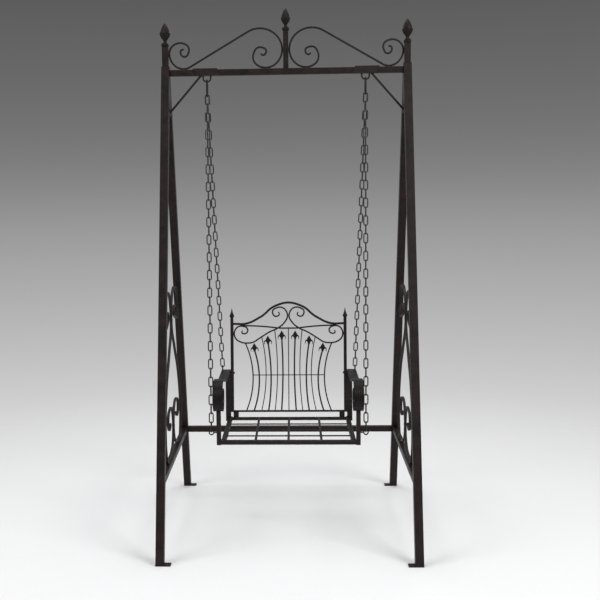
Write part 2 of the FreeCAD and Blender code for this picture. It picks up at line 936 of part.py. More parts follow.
seat_depth = math.hypot(rear_y - front_y, size("seat_front_height") - size("seat_rear_height"))
seat_drop = math.degrees(math.atan2(size("seat_front_height") - size("seat_rear_height"), rear_y - front_y))
seat_place = Placement(Vector(0, front_y, size("seat_front_height")), Rotation(Vector(1, 0, 0), -seat_drop))
front_rail_half = size("seat_front_rail_diameter") / 2
rear_rail_half = size("seat_rear_rail_diameter") / 2
side_rail_half = size("seat_side_rail_size") / 2
rail_x = seat_x - side_rail_half
inner_x = seat_x - size("seat_side_rail_size")


def inSeat(piece):
    piece.Placement = seat_place.multiply(piece.Placement)
    return piece


crosswise = Vector(1, 0, 0)
post_inner_x = seat_x + gap
keep(inSeat(roundBar(
    "seat_front_rail", cell("seat_front_rail_diameter"), str(2 * post_inner_x),
    Vector(-post_inner_x, 0, 0), crosswise,
)))
keep(inSeat(roundBar(
    "seat_rear_rail", cell("seat_rear_rail_diameter"),
    cell("seat_width") + " - 2 * " + cell("seat_side_rail_size"),
    Vector(-inner_x, seat_depth, 0), crosswise,
)))
for side_name, side in (("left", -1), ("right", 1)):
    start = front_rail_half + gap
    keep(inSeat(squareBar(
        side_name + "_seat_rail", cell("seat_side_rail_size"),
        str(seat_depth - start + side_rail_half),
        Vector(side * rail_x, start, 0), Vector(0, 1, 0), cell("tube_wall"),
    )))


rod_sides = 12


def seatGrid():
    rods = []
    for i in range(1, 4):
        rods.append(inSeat(prism(
            "seat_rod_" + str(i), rod_sides, cell("seat_rod_diameter"),
            cell("seat_width") + " - 2 * " + cell("seat_side_rail_size"),
            Vector(-inner_x, seat_depth * i / 4, 0), crosswise,
        )))
    keep(group("seat_rods", rods))
    slats = []
    start = front_rail_half + gap
    length = seat_depth - start - rear_rail_half - gap
    for i in (-1, 0, 1):
        middle = i * size("seat_slat_spacing")
        base = Vector(middle - size("seat_slat_width") / 2, start, size("seat_rod_diameter") / 2 + gap)
        name = "seat_slat_" + str(i + 2)
        slats.append(inSeat(block(name, cell("seat_slat_width"), str(length), cell("seat_slat_thickness"), base)))
    keep(group("seat_slats", slats))


seatGrid()

# Back: a leaning frame. Its curves are drawn upright and then leaned.

lean_slope = size("back_lean_run") / size("back_height")
lean = Rotation(Vector(1, 0, 0), -math.degrees(math.atan(lean_slope)))
back_place = Placement(Vector(0, rear_y, size("seat_rear_height") + side_rail_half), lean)
post_x = seat_x - size("back_post_inset")
back_post_top = size("back_height") - size("back_post_drop")
back_inner_x = post_x - size("back_post_size") / 2
lean_cos = math.cos(math.atan(lean_slope))
half_depth = size("back_depth") / 2
back_post_outer = post_x + size("back_post_size") / 2
rear_post_half = size("arm_rear_post_size") / 2
rear_post_lean = rear_post_half * lean_slope
rear_post_x = back_post_outer + gap + rear_post_half
strut_x = seat_x + gap + size("arm_rear_strut_width") / 2
# heights along the leaning back, from the top of the seat's side rail
band_rise = (size("arm_rear_height") - arm_band - size("seat_rear_height") - side_rail_half) / lean_cos
rear_post_foot = rear_post_lean + gap
rear_post_top = band_rise - rear_post_lean - gap
bolt_rise = band_rise - size("bolt_drop")


def inBack(piece):
    piece.Placement = back_place.multiply(piece.Placement)
    return piece


# height share and width share of the bud above its foot, which is as wide as the post
spear_bud_shares = [(0.12, 0.64), (0.36, 1.00), (1.00, 0.12)]


def spearFinial(width, height, post):
    stack = [(0, post / 2, post / 2)]
    for z, r in spear_bud_shares:
        stack.append((z * height, r * width / 2, r * width / 2))
    return bud(8, stack)


bolt_sides = 8


def drilled(label, post, side):
    """The post with a hole across it for the bolt that holds back and arm together."""
    hole = inBack(prism(
        label + "_hole", bolt_sides, cell("bolt_shank") + " + 2 * " + cell("weld_gap"),
        cell("back_post_inset") + " + " + cell("back_post_size") + " + " + cell("arm_rear_strut_width")
        + " + 2 * " + cell("overrun"),
        Vector(side * (back_inner_x - size("overrun")), 0, bolt_rise), Vector(side, 0, 0),
    ))
    cut = doc.addObject("Part::Cut", label)
    cut.Base = post
    cut.Tool = hole
    return cut


def backBolt(label, side):
    """A bolt through back post, arm post and strut: hexagon head inside, shank, hexagon nut outside."""
    reach = strut_x + size("arm_rear_strut_width") / 2 - back_inner_x + gap
    head = size("bolt_head_height")

    def manySided(sides, width, start, end):
        corners = []
        for i in range(sides + 1):
            angle = 2 * math.pi * i / sides
            corners.append(Vector(start, width / 2 * math.cos(angle), width / 2 * math.sin(angle)))
        return Part.Face(Part.makePolygon(corners)).extrude(Vector(end - start, 0, 0))
    shank = manySided(bolt_sides, size("bolt_shank"), -gap, reach)
    ends = [manySided(6, size("bolt_head_width"), low, low + head) for low in (-head - gap, reach)]
    bolt = shank.fuse(ends).removeSplitter()
    turn = Rotation() if side > 0 else Rotation(Vector(0, 0, 1), 180)
    return inBack(solid(label, bolt, Placement(Vector(side * back_inner_x, 0, bolt_rise), turn)))


finials = []
rear_posts = []
bolts = []
for side_name, side in (("left", -1), ("right", 1)):
    tube = inBack(squareBar(
        side_name + "_back_tube", cell("back_post_size"),
        cell("back_height") + " - " + cell("back_post_drop") + " - " + cell("back_post_foot"),
        Vector(side * post_x, 0, size("back_post_foot")), Vector(0, 0, 1), cell("tube_wall"),
    ))
    keep(drilled(side_name + "_back_post", tube, side))
    # a bar that stands on the seat rail beside the back post, and a strut outside the seat rail
    for name, width, x, foot in (
        ("_arm_rear_bar", "arm_rear_post_size", rear_post_x, rear_post_foot),
        ("_arm_rear_strut", "arm_rear_strut_width", strut_x, -size("seat_side_rail_size")),
    ):
        bar = inBack(squareBar(
            side_name + name + "_blank", cell(width), str(rear_post_top - foot),
            Vector(side * x, 0, foot), Vector(0, 0, 1), depth=cell("arm_rear_post_size"),
        ))
        rear_posts.append(drilled(side_name + name, bar, side))
    bolts.append(backBolt(side_name + "_back_bolt", side))
    top = Placement(Vector(side * post_x, 0, back_post_top), Rotation())
    finials.append(inBack(solid(
        side_name + "_back_finial",
        spearFinial(size("back_finial_width"), size("back_finial_height"), size("back_post_size")), top,
    )))
keep(group("back_finials", finials))
keep(group("arm_rear_posts", rear_posts))
keep(group("back_bolts", bolts))

# u share of the half width between the posts, v share of the back's height
camel_shares = [(1.000, 0.802, 180), (0.767, 0.804), (0.500, 0.862), (0.254, 0.951), (0.000, 0.983, 180)]
cross_shares = [
    (0.870, 0.784, 180),
    (0.735, 0.785),
    (0.504, 0.780),
    (0.280, 0.770),
    (0.178, 0.764),
    (0.000, 0.763, 180),
]
back_scroll_shares = [
    (0.174, 0.902),
    (0.153, 0.887),
    (0.212, 0.865),
    (0.280, 0.902),
    (0.178, 0.942, 164),
    (0.000, 0.870, -90),
    (0.064, 0.809),
    (0.182, 0.764),
    (0.331, 0.733),
    (0.517, 0.680),
    (0.657, 0.642),
    (0.775, 0.636, 0),
    (1.000, 0.717, 90),
    (0.873, 0.783, 180),
    (0.746, 0.746, -90),
    (0.805, 0.717),
    (0.856, 0.727),
    (0.839, 0.743),
]
# each spear from the tip of its head down
spear_shares = [
    [(0.616, 0.636), (0.535, 0.305), (0.636, 0.056)],
    [(0.370, 0.699), (0.320, 0.369), (0.370, 0.056)],
    [(0.121, 0.742), (0.104, 0.369), (0.133, 0.056)],
]
thin_shares = [
    [(0.487, 0.690), (0.411, 0.369), (0.498, 0.056)],
    [(0.249, 0.752), (0.204, 0.369), (0.253, 0.056)],
]
outer_shares = [(0.790, 0.640), (0.650, 0.369), (0.775, 0.056)]
centre_bar_top_share = 0.756


def backPoints(table, inset=0):
    return spread(table, 0, back_inner_x - inset, 0, size("back_height"))


def bothHalves(points):
    """A curve from the right post to the middle, carried on to the left post."""
    rest = [(-p[0], p[1]) + ((360 - p[2],) if len(p) > 2 else ()) for p in points[:-1]]
    return points + rest[::-1]


def layer(label, face, full):
    """A bar of the back: full depth, or the front or the rear half of it."""
    if full == "full":
        return inBack(profile(label, face, cell("back_depth")))
    half = profile(label, face, "(" + cell("back_depth") + " - " + cell("weld_gap") + ") / 2", False)
    sign = 1 if full == "rear" else -1
    low = gap / 2 if sign > 0 else -half_depth
    doc.recompute()
    box = half.Shape.BoundBox
    half.Placement = Placement(Vector(0, low - box.YMin, 0), Rotation())
    return inBack(half)


scroll_bar = size("back_scroll_bar")
camel = bothHalves(backPoints(camel_shares))
keep(layer("camelback_rail", ribbonFace(camel, size("camel_rail_bar"), planeXZ), "full"))
cross = bothHalves(backPoints(cross_shares))
keep(layer("back_cross_rail", ribbonFace(cross, scroll_bar, planeXZ), "rear"))
inset = scroll_bar / 2 + gap
for side_name, side in (("left", -1), ("right", 1)):
    ends = (inset - gap / 2, back_inner_x - inset, 0, size("back_height"))
    scroll_points = spread(back_scroll_shares, *ends)
    if side < 0:
        scroll_points = flipped(scroll_points)
    keep(layer(side_name + "_back_scroll", ribbonFace(scroll_points, scroll_bar, planeXZ), "front"))

keep(inBack(squareBar(
    "back_bottom_rail", cell("bottom_rail_bar"),
    cell("seat_width") + " - 2 * " + cell("back_post_inset") + " - " + cell("back_post_size"),
    Vector(-back_inner_x, 0, size("bottom_rail_rise") - side_rail_half), crosswise,
)))
bottom_top = size("bottom_rail_rise") - side_rail_half + size("bottom_rail_bar") / 2


def backLugs():
    """Two plates that stand on the seat's rear rail and carry the back's bottom rail."""
    low = rear_rail_half + gap - side_rail_half * lean_cos
    high = size("bottom_rail_rise") - side_rail_half - size("bottom_rail_bar") / 2 - gap
    lugs = []
    for side in (-1, 1):
        left = side * (seat_x - size("lug_inset")) - size("lug_width") / 2
        base = Vector(left, -size("lug_depth") / 2, low)
        name = "back_lug_" + str(len(lugs))
        lugs.append(inBack(block(name, cell("lug_width"), cell("lug_depth"), str(high - low), base)))
    return keep(group("back_lugs", lugs))


backLugs()


def upright(label, table, side, width, shortened=0):
    """A bowed bar that stands on the bottom rail; a spear ends below its head."""
    points = backPoints(table)
    points[0] = (points[0][0], points[0][1] - shortened)
    points[-1] = (points[-1][0], bottom_top + gap)
    if side < 0:
        points = flipped(points)
    return layer(label, ribbonFace(points, width, planeXZ, bottom_top + gap), "rear")


thin_bar = size("thin_bar_width")
spears = []
thins = []
outers = []
for name, side in (("left", -1), ("right", 1)):
    outers.append(upright(name + "_outer_bar", outer_shares, side, size("outer_bar_width")))
    for i, table in enumerate(spear_shares):
        shortened = size("spear_height") + 2 * gap
        spears.append(upright(name + "_spear_" + str(i), table, side, size("spear_bar_width"), shortened))
    for i, table in enumerate(thin_shares):
        thins.append(upright(name + "_thin_" + str(i), table, side, thin_bar))
centre = [(0, centre_bar_top_share * size("back_height"), -90), (0, bottom_top + gap, -90)]
thins.append(layer("centre_bar", ribbonFace(centre, thin_bar, planeXZ), "rear"))
keep(group("spear_bars", spears))
keep(group("thin_bars", thins))
keep(group("outer_back_bars", outers))

# x share of the spearhead's width, z share of its height, from the top of the bar
spear_head_shares = [
    (0.09, 0.00), (0.09, 0.20), (0.24, 0.34), (0.30, 0.12), (0.41, 0.00), (0.50, 0.16), (0.40, 0.50),
    (0.20, 0.66), (0.08, 0.80), (0.00, 1.00),
]


def spearHeads():
    heads = []
    for name, side in (("left", -1), ("right", 1)):
        for i, table in enumerate(spear_shares):
            points = backPoints(table)
            top, below = points[0], points[1]
            outline = [(x * size("spear_width"), z * size("spear_height")) for x, z in spear_head_shares]
            outline += [(-x, z) for x, z in outline[-2::-1]]
            face = polygonFace(outline, planeXZ)
            head = profile(name + "_spear_head_" + str(i), face, cell("back_depth") + " / 2")
            swing = math.degrees(math.atan2(top[0] - below[0], top[1] - below[1])) / 2
            foot = Vector(side * top[0], (half_depth + gap) / 2, top[1] - size("spear_height"))
            head.Placement = Placement(foot, Rotation(Vector(0, 1, 0), side * swing))
            heads.append(inBack(head))
    return keep(group("spear_heads", heads))


spearHeads()

mid_rise = size("mid_rod_rise") - side_rail_half
mid_reach = outer_shares[1][0] * back_inner_x
keep(inBack(prism(
    "back_mid_rod", rod_sides, cell("mid_rod_diameter"), str(2 * mid_reach),
    Vector(-mid_reach, half_depth + size("mid_rod_diameter") / 2 + gap, mid_rise), crosswise,
)))

# Check and write

doc.recompute()
for item in doc.Objects:
    if "Invalid" in item.State or "Error" in item.State:
        raise RuntimeError(item.Label + " did not build")
for piece in kept:
    if piece.Shape.isNull() or not piece.Shape.isValid():
        raise RuntimeError(piece.Label + " is not a valid shape")
for piece in kept:
    piece.Shape.exportStep("parts/" + piece.Label + ".step")
print(len(kept), "pieces written")
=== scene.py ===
import bmesh
import bpy
import json
import math
from mathutils import Matrix, Vector


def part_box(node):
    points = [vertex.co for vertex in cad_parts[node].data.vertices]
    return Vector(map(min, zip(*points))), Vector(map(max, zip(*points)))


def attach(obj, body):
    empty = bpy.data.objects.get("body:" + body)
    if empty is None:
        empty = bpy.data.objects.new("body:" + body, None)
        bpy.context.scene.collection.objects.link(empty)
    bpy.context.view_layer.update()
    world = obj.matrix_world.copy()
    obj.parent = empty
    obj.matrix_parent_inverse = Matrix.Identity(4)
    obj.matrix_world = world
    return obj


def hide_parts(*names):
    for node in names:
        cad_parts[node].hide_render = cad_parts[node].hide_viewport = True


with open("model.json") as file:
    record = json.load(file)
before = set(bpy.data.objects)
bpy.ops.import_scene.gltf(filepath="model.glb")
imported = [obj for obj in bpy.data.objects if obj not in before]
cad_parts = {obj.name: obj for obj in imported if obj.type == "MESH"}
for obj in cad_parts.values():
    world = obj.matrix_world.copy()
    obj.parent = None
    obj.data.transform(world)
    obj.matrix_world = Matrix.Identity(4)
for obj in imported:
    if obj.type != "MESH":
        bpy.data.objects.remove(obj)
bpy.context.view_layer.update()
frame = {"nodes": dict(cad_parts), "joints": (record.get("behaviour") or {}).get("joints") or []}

nodes = frame["nodes"]
mm = 0.001
deg = math.pi / 180
up = Vector((0, 0, 1))
across = Vector((1, 0, 0))  # from the seat's left side to its right
rearward = Vector((0, 1, 0))
bothSides = (("left", -1), ("right", 1))
print("frame loaded:", len(nodes), "nodes")


# Small tools

def toLinear(hexColour):
    # sRGB hex to the linear colour that Blender's sockets take
    channels = [int(hexColour[i:i + 2], 16) / 255 for i in (1, 3, 5)]
    return tuple(c / 12.92 if c <= 0.04045 else ((c + 0.055) / 1.055) ** 2.4 for c in channels) + (1.0,)


def addNode(tree, kind, settings=None, links=None):
    # a key that is an input's identifier sets or links that input, any other is a property of the node
    node = tree.nodes.new("ShaderNode" + kind)
    inputs = {socket.identifier: socket for socket in node.inputs}
    for key, value in (settings or {}).items():
        if key in inputs:
            inputs[key].default_value = value
        else:
            setattr(node, key, value)
    for key, socket in (links or {}).items():
        tree.links.new(socket, inputs[key])
    return node


def newMaterial(name):
    material = bpy.data.materials.new(name)
    material.use_nodes = True
    material.node_tree.nodes.clear()
    return material, material.node_tree


# Materials

# what all the paints share: their noises, and the values between which each effect comes in
paintFilm = {
    "cloud": {"Detail": 4.0, "Roughness": 0.6},
    "speck": {"Detail": 2.0},
    "peel": {"Detail": 1.5, "Roughness": 0.4},
    "warmth": {"From Min": 0.35, "From Max": 0.68},
    "dust": {"From Min": 0.60, "From Max": 0.78},
    "rubbing": {"From Min": 0.35, "From Max": 0.62, "To Min": 0.35},
    "roughness": {"From Min": 0.3, "From Max": 0.7},
    "metal": {"From Min": 0.3, "From Max": 1.0, "To Max": 0.8},
    "ior": 1.5,
}


# Stove-dried satin paint over bare mild steel: a brown-black film with a fine orange peel,
# a little thicker and redder in places, so that flat faces aren't one even tone.
def satinPaintedSteel(name, look):
    material, tree = newMaterial(name)
    coords = addNode(tree, "TexCoord").outputs["Object"]
    # a noise scale is 1 / feature size in metres
    clouds, specks, peel = [
        addNode(tree, "TexNoise", paintFilm[noise] | {"Scale": 1 / look[noise + "Size"]},
                {"Vector": coords}).outputs["Fac"] for noise in ("cloud", "speck", "peel")]
    # warm patches where the film is thicker; output 2 of a Mix node is its colour
    warmth = addNode(tree, "MapRange", paintFilm["warmth"], {"Value": clouds}).outputs[0]
    dark, warm = toLinear(look["dark"]), toLinear(look["warm"])
    film = addNode(tree, "Mix", {"data_type": "RGBA", "A_Color": dark, "B_Color": warm},
                   {"Factor_Float": warmth}).outputs[2]
    # dust caught in the paint
    dustiness = addNode(tree, "MapRange", paintFilm["dust"] | {"To Max": look["dustShare"]},
                        {"Value": specks}).outputs[0]
    dusty = addNode(tree, "Mix", {"data_type": "RGBA", "B_Color": toLinear(look["dust"])},
                    {"Factor_Float": dustiness, "A_Color": film}).outputs[2]
    # rubbed places, broken up by the specks
    rubbed = addNode(tree, "Attribute", {"attribute_name": "wear"}).outputs["Fac"]
    broken = addNode(tree, "MapRange", paintFilm["rubbing"], {"Value": specks}).outputs[0]
    worn = addNode(tree, "Math", {"operation": "MULTIPLY"}, {"Value": rubbed, "Value_001": broken}).outputs[0]
    colour = addNode(tree, "Mix", {"data_type": "RGBA", "B_Color": toLinear(look["bare"])},
                     {"Factor_Float": worn, "A_Color": dusty}).outputs[2]
    low, high = look["roughness"]
    rough = addNode(tree, "MapRange", paintFilm["roughness"] | {"To Min": low, "To Max": high},
                    {"Value": clouds}).outputs[0]
    metal = addNode(tree, "MapRange", paintFilm["metal"], {"Value": worn}).outputs[0]
    bump = addNode(tree, "Bump", {"Strength": look["peelStrength"], "Distance": look["peelDepth"]},
                   {"Height": peel}).outputs[0]
    shader = addNode(tree, "BsdfPrincipled", {"IOR": paintFilm["ior"], "Specular IOR Level": look["gloss"]},
                     {"Base Color": colour, "Roughness": rough, "Metallic": metal, "Normal": bump})
    addNode(tree, "OutputMaterial", None, {"Surface": shader.outputs[0]})
    return material


paintLooks = {
    # brown-black paint on tube and bar
    "satinPaintedSteelTube": {
        "dark": "#130f0e", "warm": "#241715", "dust": "#332927", "dustShare": 0.4, "bare": "#5d5550",
        "cloudSize": 45 * mm, "speckSize": 6 * mm, "peelSize": 2.8 * mm, "peelStrength": 0.35,
        "peelDepth": 0.4 * mm, "roughness": (0.40, 0.56), "gloss": 0.22},
    # the same paint over forged bar, whose hammered skin shows as a coarser bump
    "satinPaintedForgedBar": {
        "dark": "#120e0e", "warm": "#221516", "dust": "#332a29", "dustShare": 0.45, "bare": "#625952",
        "cloudSize": 30 * mm, "speckSize": 5 * mm, "peelSize": 4.5 * mm, "peelStrength": 0.55,
        "peelDepth": 0.6 * mm, "roughness": (0.42, 0.58), "gloss": 0.26},
    # cast iron under paint: a sandy skin
    "satinPaintedCastIron": {
        "dark": "#100c0a", "warm": "#1d1410", "dust": "#2d251f", "dustShare": 0.4, "bare": "#5e554a",
        "cloudSize": 18 * mm, "speckSize": 4 * mm, "peelSize": 1.6 * mm, "peelStrength": 0.5,
        "peelDepth": 0.4 * mm, "roughness": (0.44, 0.62), "gloss": 0.20},
    # the arm bands: the same paint in darker tones with fewer specks, painted shade for the rolls, whose
    # faces curve down into shade
    "armBandPaintedShade": {
        "dark": "#0c0909", "warm": "#180f0f", "dust": "#231c1b", "dustShare": 0.3, "bare": "#5a514a",
        "cloudSize": 30 * mm, "speckSize": 5 * mm, "peelSize": 4 * mm, "peelStrength": 0.45,
        "peelDepth": 0.5 * mm, "roughness": (0.38, 0.52), "gloss": 0.16},
    # black lacquered welded chain, rubbed to grey steel where the links bear on each other
    "lacqueredWeldedChain": {
        "dark": "#121010", "warm": "#1f1a1a", "dust": "#343030", "dustShare": 0.45, "bare": "#827d78",
        "cloudSize": 20 * mm, "speckSize": 3 * mm, "peelSize": 2 * mm, "peelStrength": 0.4,
        "peelDepth": 0.3 * mm, "roughness": (0.34, 0.50), "gloss": 0.35},
}
tubePaint, forgedPaint, castPaint, armShadedPaint, chainLacquer = [
    satinPaintedSteel(name, look) for name, look in paintLooks.items()]
print("materials ready")


# Mesh helpers

def addObject(name, data):
    thing = bpy.data.objects.new(name, data)
    bpy.context.scene.collection.objects.link(thing)
    return thing


def meshObject(name, mesh, material):
    data = bpy.data.meshes.new(name)
    mesh.to_mesh(data)
    mesh.free()
    data.materials.append(material)
    return addObject(name, data)


def finishMesh(name, mesh, material, body, node, sharpAngle=32):
    # flat where two faces meet at a sharp corner, smooth elsewhere; takes the place of its CAD node
    bmesh.ops.recalc_face_normals(mesh, faces=mesh.faces)
    for face in mesh.faces:
        face.smooth = True
    for edge in mesh.edges:
        if len(edge.link_faces) == 2:
            edge.smooth = edge.calc_face_angle(0) < sharpAngle * deg
    piece = meshObject(name, mesh, material)
    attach(piece, body)
    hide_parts(node)


def newMesh():
    mesh = bmesh.new()
    mesh.verts.layers.float.new("wear")
    return mesh


def roundedSection(width, depth, radius, steps=2):
    # corners of a rectangle rounded off; first axis width, second axis depth
    points = []
    for sx, sy, start in ((1, 1, 0), (-1, 1, 90), (-1, -1, 180), (1, -1, 270)):
        for i in range(steps + 1):
            angle = (start + 90 * i / steps) * deg
            points.append((sx * (width / 2 - radius) + radius * math.cos(angle),
                           sy * (depth / 2 - radius) + radius * math.sin(angle)))
    return points


def roundSection(diameter, sides):
    turns = [2 * math.pi * i / sides for i in range(sides)]
    return [(diameter / 2 * math.cos(turn), diameter / 2 * math.sin(turn)) for turn in turns]


def skin(mesh, pairs):
    # faces between the two rings of vertices of each pair
    for low, high in pairs:
        for i in range(len(low)):
            j = (i + 1) % len(low)
            mesh.faces.new((low[i], low[j], high[j], high[i]))


def closedSkin(mesh, rings):
    # a skin over rings from foot to top, with a lid on both
    skin(mesh, zip(rings, rings[1:]))
    mesh.faces.new(rings[0][::-1])
    mesh.faces.new(rings[-1])


def sweep(mesh, stations, section, closed=False, wear=None):
    # stations: (place, first axis, second axis, scale); the section rides on the two axes
    wearLayer = mesh.verts.layers.float["wear"]
    rings = []
    for index, (place, first, second, scale) in enumerate(stations):
        ring = []
        sx, sy = scale if isinstance(scale, tuple) else (scale, scale)
        for x, y in section:
            vert = mesh.verts.new(place + first * (x * sx) + second * (y * sy))
            if wear:
                vert[wearLayer] = wear(index)
            ring.append(vert)
        rings.append(ring)
    if closed:
        skin(mesh, zip(rings, rings[1:] + rings[:1]))
    else:
        closedSkin(mesh, rings)


# Forged curves: each pair of points is joined by two arcs that share a tangent

def tangentAt(a, b, c):
    # direction at b on the way from a to c
    ab, bc = b - a, c - b
    return (ab.normalized() * bc.length + bc.normalized() * ab.length).normalized()


def mirroredTangent(near, far, known):
    along = (far - near).normalized()
    return 2 * known.dot(along) * along - known


def curvePoints(table, step):
    # table rows are (x, y) or (x, y, direction in degrees); gives (place, tangent) a few degrees apart
    spots = [Vector(row[:2]) for row in table]
    tangents = []
    for i, row in enumerate(table):
        if len(row) > 2:
            tangents.append(Vector((math.cos(row[2] * deg), math.sin(row[2] * deg))))
        elif 0 < i < len(table) - 1:
            tangents.append(tangentAt(spots[i - 1], spots[i], spots[i + 1]))
        else:
            tangents.append(None)
    if tangents[0] is None:
        tangents[0] = mirroredTangent(spots[0], spots[1], tangents[1])
    if tangents[-1] is None:
        tangents[-1] = mirroredTangent(spots[-2], spots[-1], tangents[-2])
    result = [(spots[0], tangents[0])]
    for i in range(len(spots) - 1):
        p, q, t, u = spots[i], spots[i + 1], tangents[i], tangents[i + 1]
        v = q - p
        both = t + u
        apart = 2 * (1 - t.dot(u))
        if apart < 1e-6:  # the two tangents are parallel
            reach = v.dot(v) / (2 * v.dot(both))
        else:
            reach = (math.sqrt(v.dot(both) ** 2 + apart * v.dot(v)) - v.dot(both)) / apart
        joint = (p + q + reach * (t - u)) / 2
        middle = mirroredTangent(p, joint, t)
        result += arcSteps(p, t, joint, step) + arcSteps(joint, middle, q, step)
    return result


def arcSteps(p, t, q, step):
    # places and tangents along the arc that leaves p in direction t and ends at q
    normal = Vector((-t.y, t.x))
    chord = q - p
    turn = 2 * math.atan2(normal.dot(chord), t.dot(chord))
    count = max(1, math.ceil(abs(turn) / (step * deg)))
    steps = []
    for i in range(1, count + 1):
        part = turn * i / count
        if abs(turn) < 1e-5:  # as good as straight
            place = p + chord * i / count
        else:
            radius = chord.length / (2 * math.sin(turn / 2))
            place = p + t * (radius * math.sin(part)) + normal * (radius * (1 - math.cos(part)))
        steps.append((place, t * math.cos(part) + normal * math.sin(part)))
    return steps


def boxed(table, lowX, highX, lowY, highY):
    # shares of a box turned into places in it
    return [(lowX + row[0] * (highX - lowX), lowY + row[1] * (highY - lowY)) + tuple(row[2:])
            for row in table]


def mirrored(table, turn=180):
    # turn is 360 where the mirrored rows are then walked from the last to the first
    return [(-row[0], row[1]) + ((turn - row[2],) if len(row) > 2 else ()) for row in table]


def rolledOn(path, radius, turn, step):
    # carries the end of a path on round a tighter curl, the same way that it already turns
    (before, first), (spot, tangent) = path[-2:]
    normal = Vector((-tangent.y, tangent.x)) * (1 if first.cross(tangent) > 0 else -1)
    count = math.ceil(turn / step)
    longer = list(path)
    for i in range(1, count + 1):
        part = turn * deg * i / count
        place = spot + tangent * (radius * math.sin(part)) + normal * (radius * (1 - math.cos(part)))
        longer.append((place, tangent * math.cos(part) + normal * math.sin(part)))
    return longer


def forgedBar(mesh, table, section, place, taper=0.0, tipLength=0.0, step=5.0, hook=None):
    # a bar along a flat curve; place turns (x, y, depth) into a point or a direction, and both ends are
    # drawn down to thinner tips, slowly at first
    path = curvePoints(table, step)
    if hook:
        path = rolledOn(path, *hook, step)
        path = [(spot, -tangent) for spot, tangent in reversed(path)]
        path = rolledOn(path, *hook, step)
    runs = [0.0]
    for here, ahead in zip(path, path[1:]):
        runs.append(runs[-1] + (ahead[0] - here[0]).length)
    depth = place(up, True)
    stations = []
    for (spot, tangent), run in zip(path, runs):
        scale = 1.0
        near = min(run, runs[-1] - run)
        if near < tipLength:
            scale = 1 - taper * (1 - near / tipLength) ** 1.5
        first = place(Vector((-tangent.y, tangent.x, 0)), True)
        stations.append((place(Vector((spot.x, spot.y, 0)), False), first, depth, (scale, 1.0)))
    sweep(mesh, stations, section)


def onFrontPlane(layer=0.0, matrix=Matrix()):
    # curve x to world X, curve y to world Z, depth to world Y
    def place(v, isDirection):
        if isDirection:
            return matrix.to_3x3() @ Vector((v.x, v.z, v.y))
        return matrix @ Vector((v.x, v.z + layer, v.y))
    return place


def onSidePlane(x):
    # curve x to world Y, curve y to world Z, depth to world X
    def place(v, isDirection):
        return Vector((v.z + (0 if isDirection else x), v.x, v.y))
    return place


def rodSweep(mesh, points, diameter, closed=False, sides=14, bulge=None, wear=None):
    # a round rod through points, its section square to the run
    count = len(points)
    stations = []
    reference = None
    for i, point in enumerate(points):
        ahead = points[(i + 1) % count] if closed or i + 1 < count else point
        behind = points[i - 1] if closed or i else point
        run = (ahead - behind).normalized()
        if reference is None:
            reference = across if abs(run.x) < 0.8 else rearward  # whichever the run isn't near
        reference = (reference - run * reference.dot(run)).normalized()
        stations.append((point, reference, run.cross(reference), bulge(i) if bulge else 1.0))
    sweep(mesh, stations, roundSection(diameter, sides), closed, wear)


weldBead = {
    "length": 14 * mm,
    "width": 3.6 * mm,
    "ripples": 6,
    "rippleSteps": 6,
    "rippleShare": 0.13,
    "endShare": 0.2,  # how thin a bead may run out
    "sinkShare": 0.15,  # how deep it sits in the bar
}


def addBeads(mesh, spot, outward, look, place):
    # a rippled weld bead on both faces of a bar, along the edge that meets its neighbour
    along = Vector((-outward.y, outward.x))
    seam = spot + outward * (look["bar"] / 2)
    steps = weldBead["ripples"] * weldBead["rippleSteps"]

    def swell(i):
        t = i / steps
        ripple = 1 - weldBead["rippleShare"] * (0.5 + 0.5 * math.cos(2 * math.pi * weldBead["ripples"] * t))
        return max(weldBead["endShare"], (4 * t * (1 - t)) ** 0.4) * ripple

    for face in (-1, 1):
        off = face * (look["depth"] / 2 - weldBead["width"] * weldBead["sinkShare"])
        line = [seam + along * (weldBead["length"] * (i / steps - 0.5)) for i in range(steps + 1)]
        points = [place(Vector((p.x, p.y, off)), False) for p in line]
        rodSweep(mesh, points, weldBead["width"], bulge=swell)


# Tubes and bars that keep their CAD solid: softened edges and paint

pairedTubes = ("_front_leg", "_rear_leg", "_head_post", "_upper_post", "_side_rail", "_seat_rail")
straightParts = {
    "tube": [side + tube for tube in pairedTubes for side in ("left", "right")] + [
        "centre_post", "top_beam", "rear_crossbar"],
    "bar": ["left_back_post", "right_back_post", "hanger_sleeves", "corner_braces", "foot_plates",
            "seat_slats", "back_bottom_rail", "arm_front_posts", "arm_rear_posts", "head_caps", "back_lugs"],
    "rod": ["seat_front_rail", "seat_rear_rail", "seat_rods", "back_mid_rod", "back_bolts"],
}
softEdges = {
    "tube": 2.2 * mm,
    "bar": 0.8 * mm,
    "rod": 0.4 * mm,
    "seam": 0.02 * mm,
    "segments": 3,
    "cornerAngle": 50,
}

for kind, names in straightParts.items():
    for name in names:
        part = nodes[name]
        part.data.materials.clear()
        part.data.materials.append(tubePaint if kind == "tube" else forgedPaint)
        weld = part.modifiers.new("closeSeams", "WELD")
        weld.merge_threshold = softEdges["seam"]
        bevel = part.modifiers.new("rolledEdges", "BEVEL")
        bevel.width = softEdges[kind]
        bevel.segments = softEdges["segments"]
        bevel.limit_method = "ANGLE"
        bevel.angle_limit = softEdges["cornerAngle"] * deg
        bevel.harden_normals = True
        even = part.modifiers.new("evenShading", "WEIGHTED_NORMAL")
        even.keep_sharp = False
print("straight parts painted")


# Stand ornaments

def reachOf(node, axis):
    # where a CAD node begins and ends along an axis
    low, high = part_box(node)
    return low[axis], high[axis]


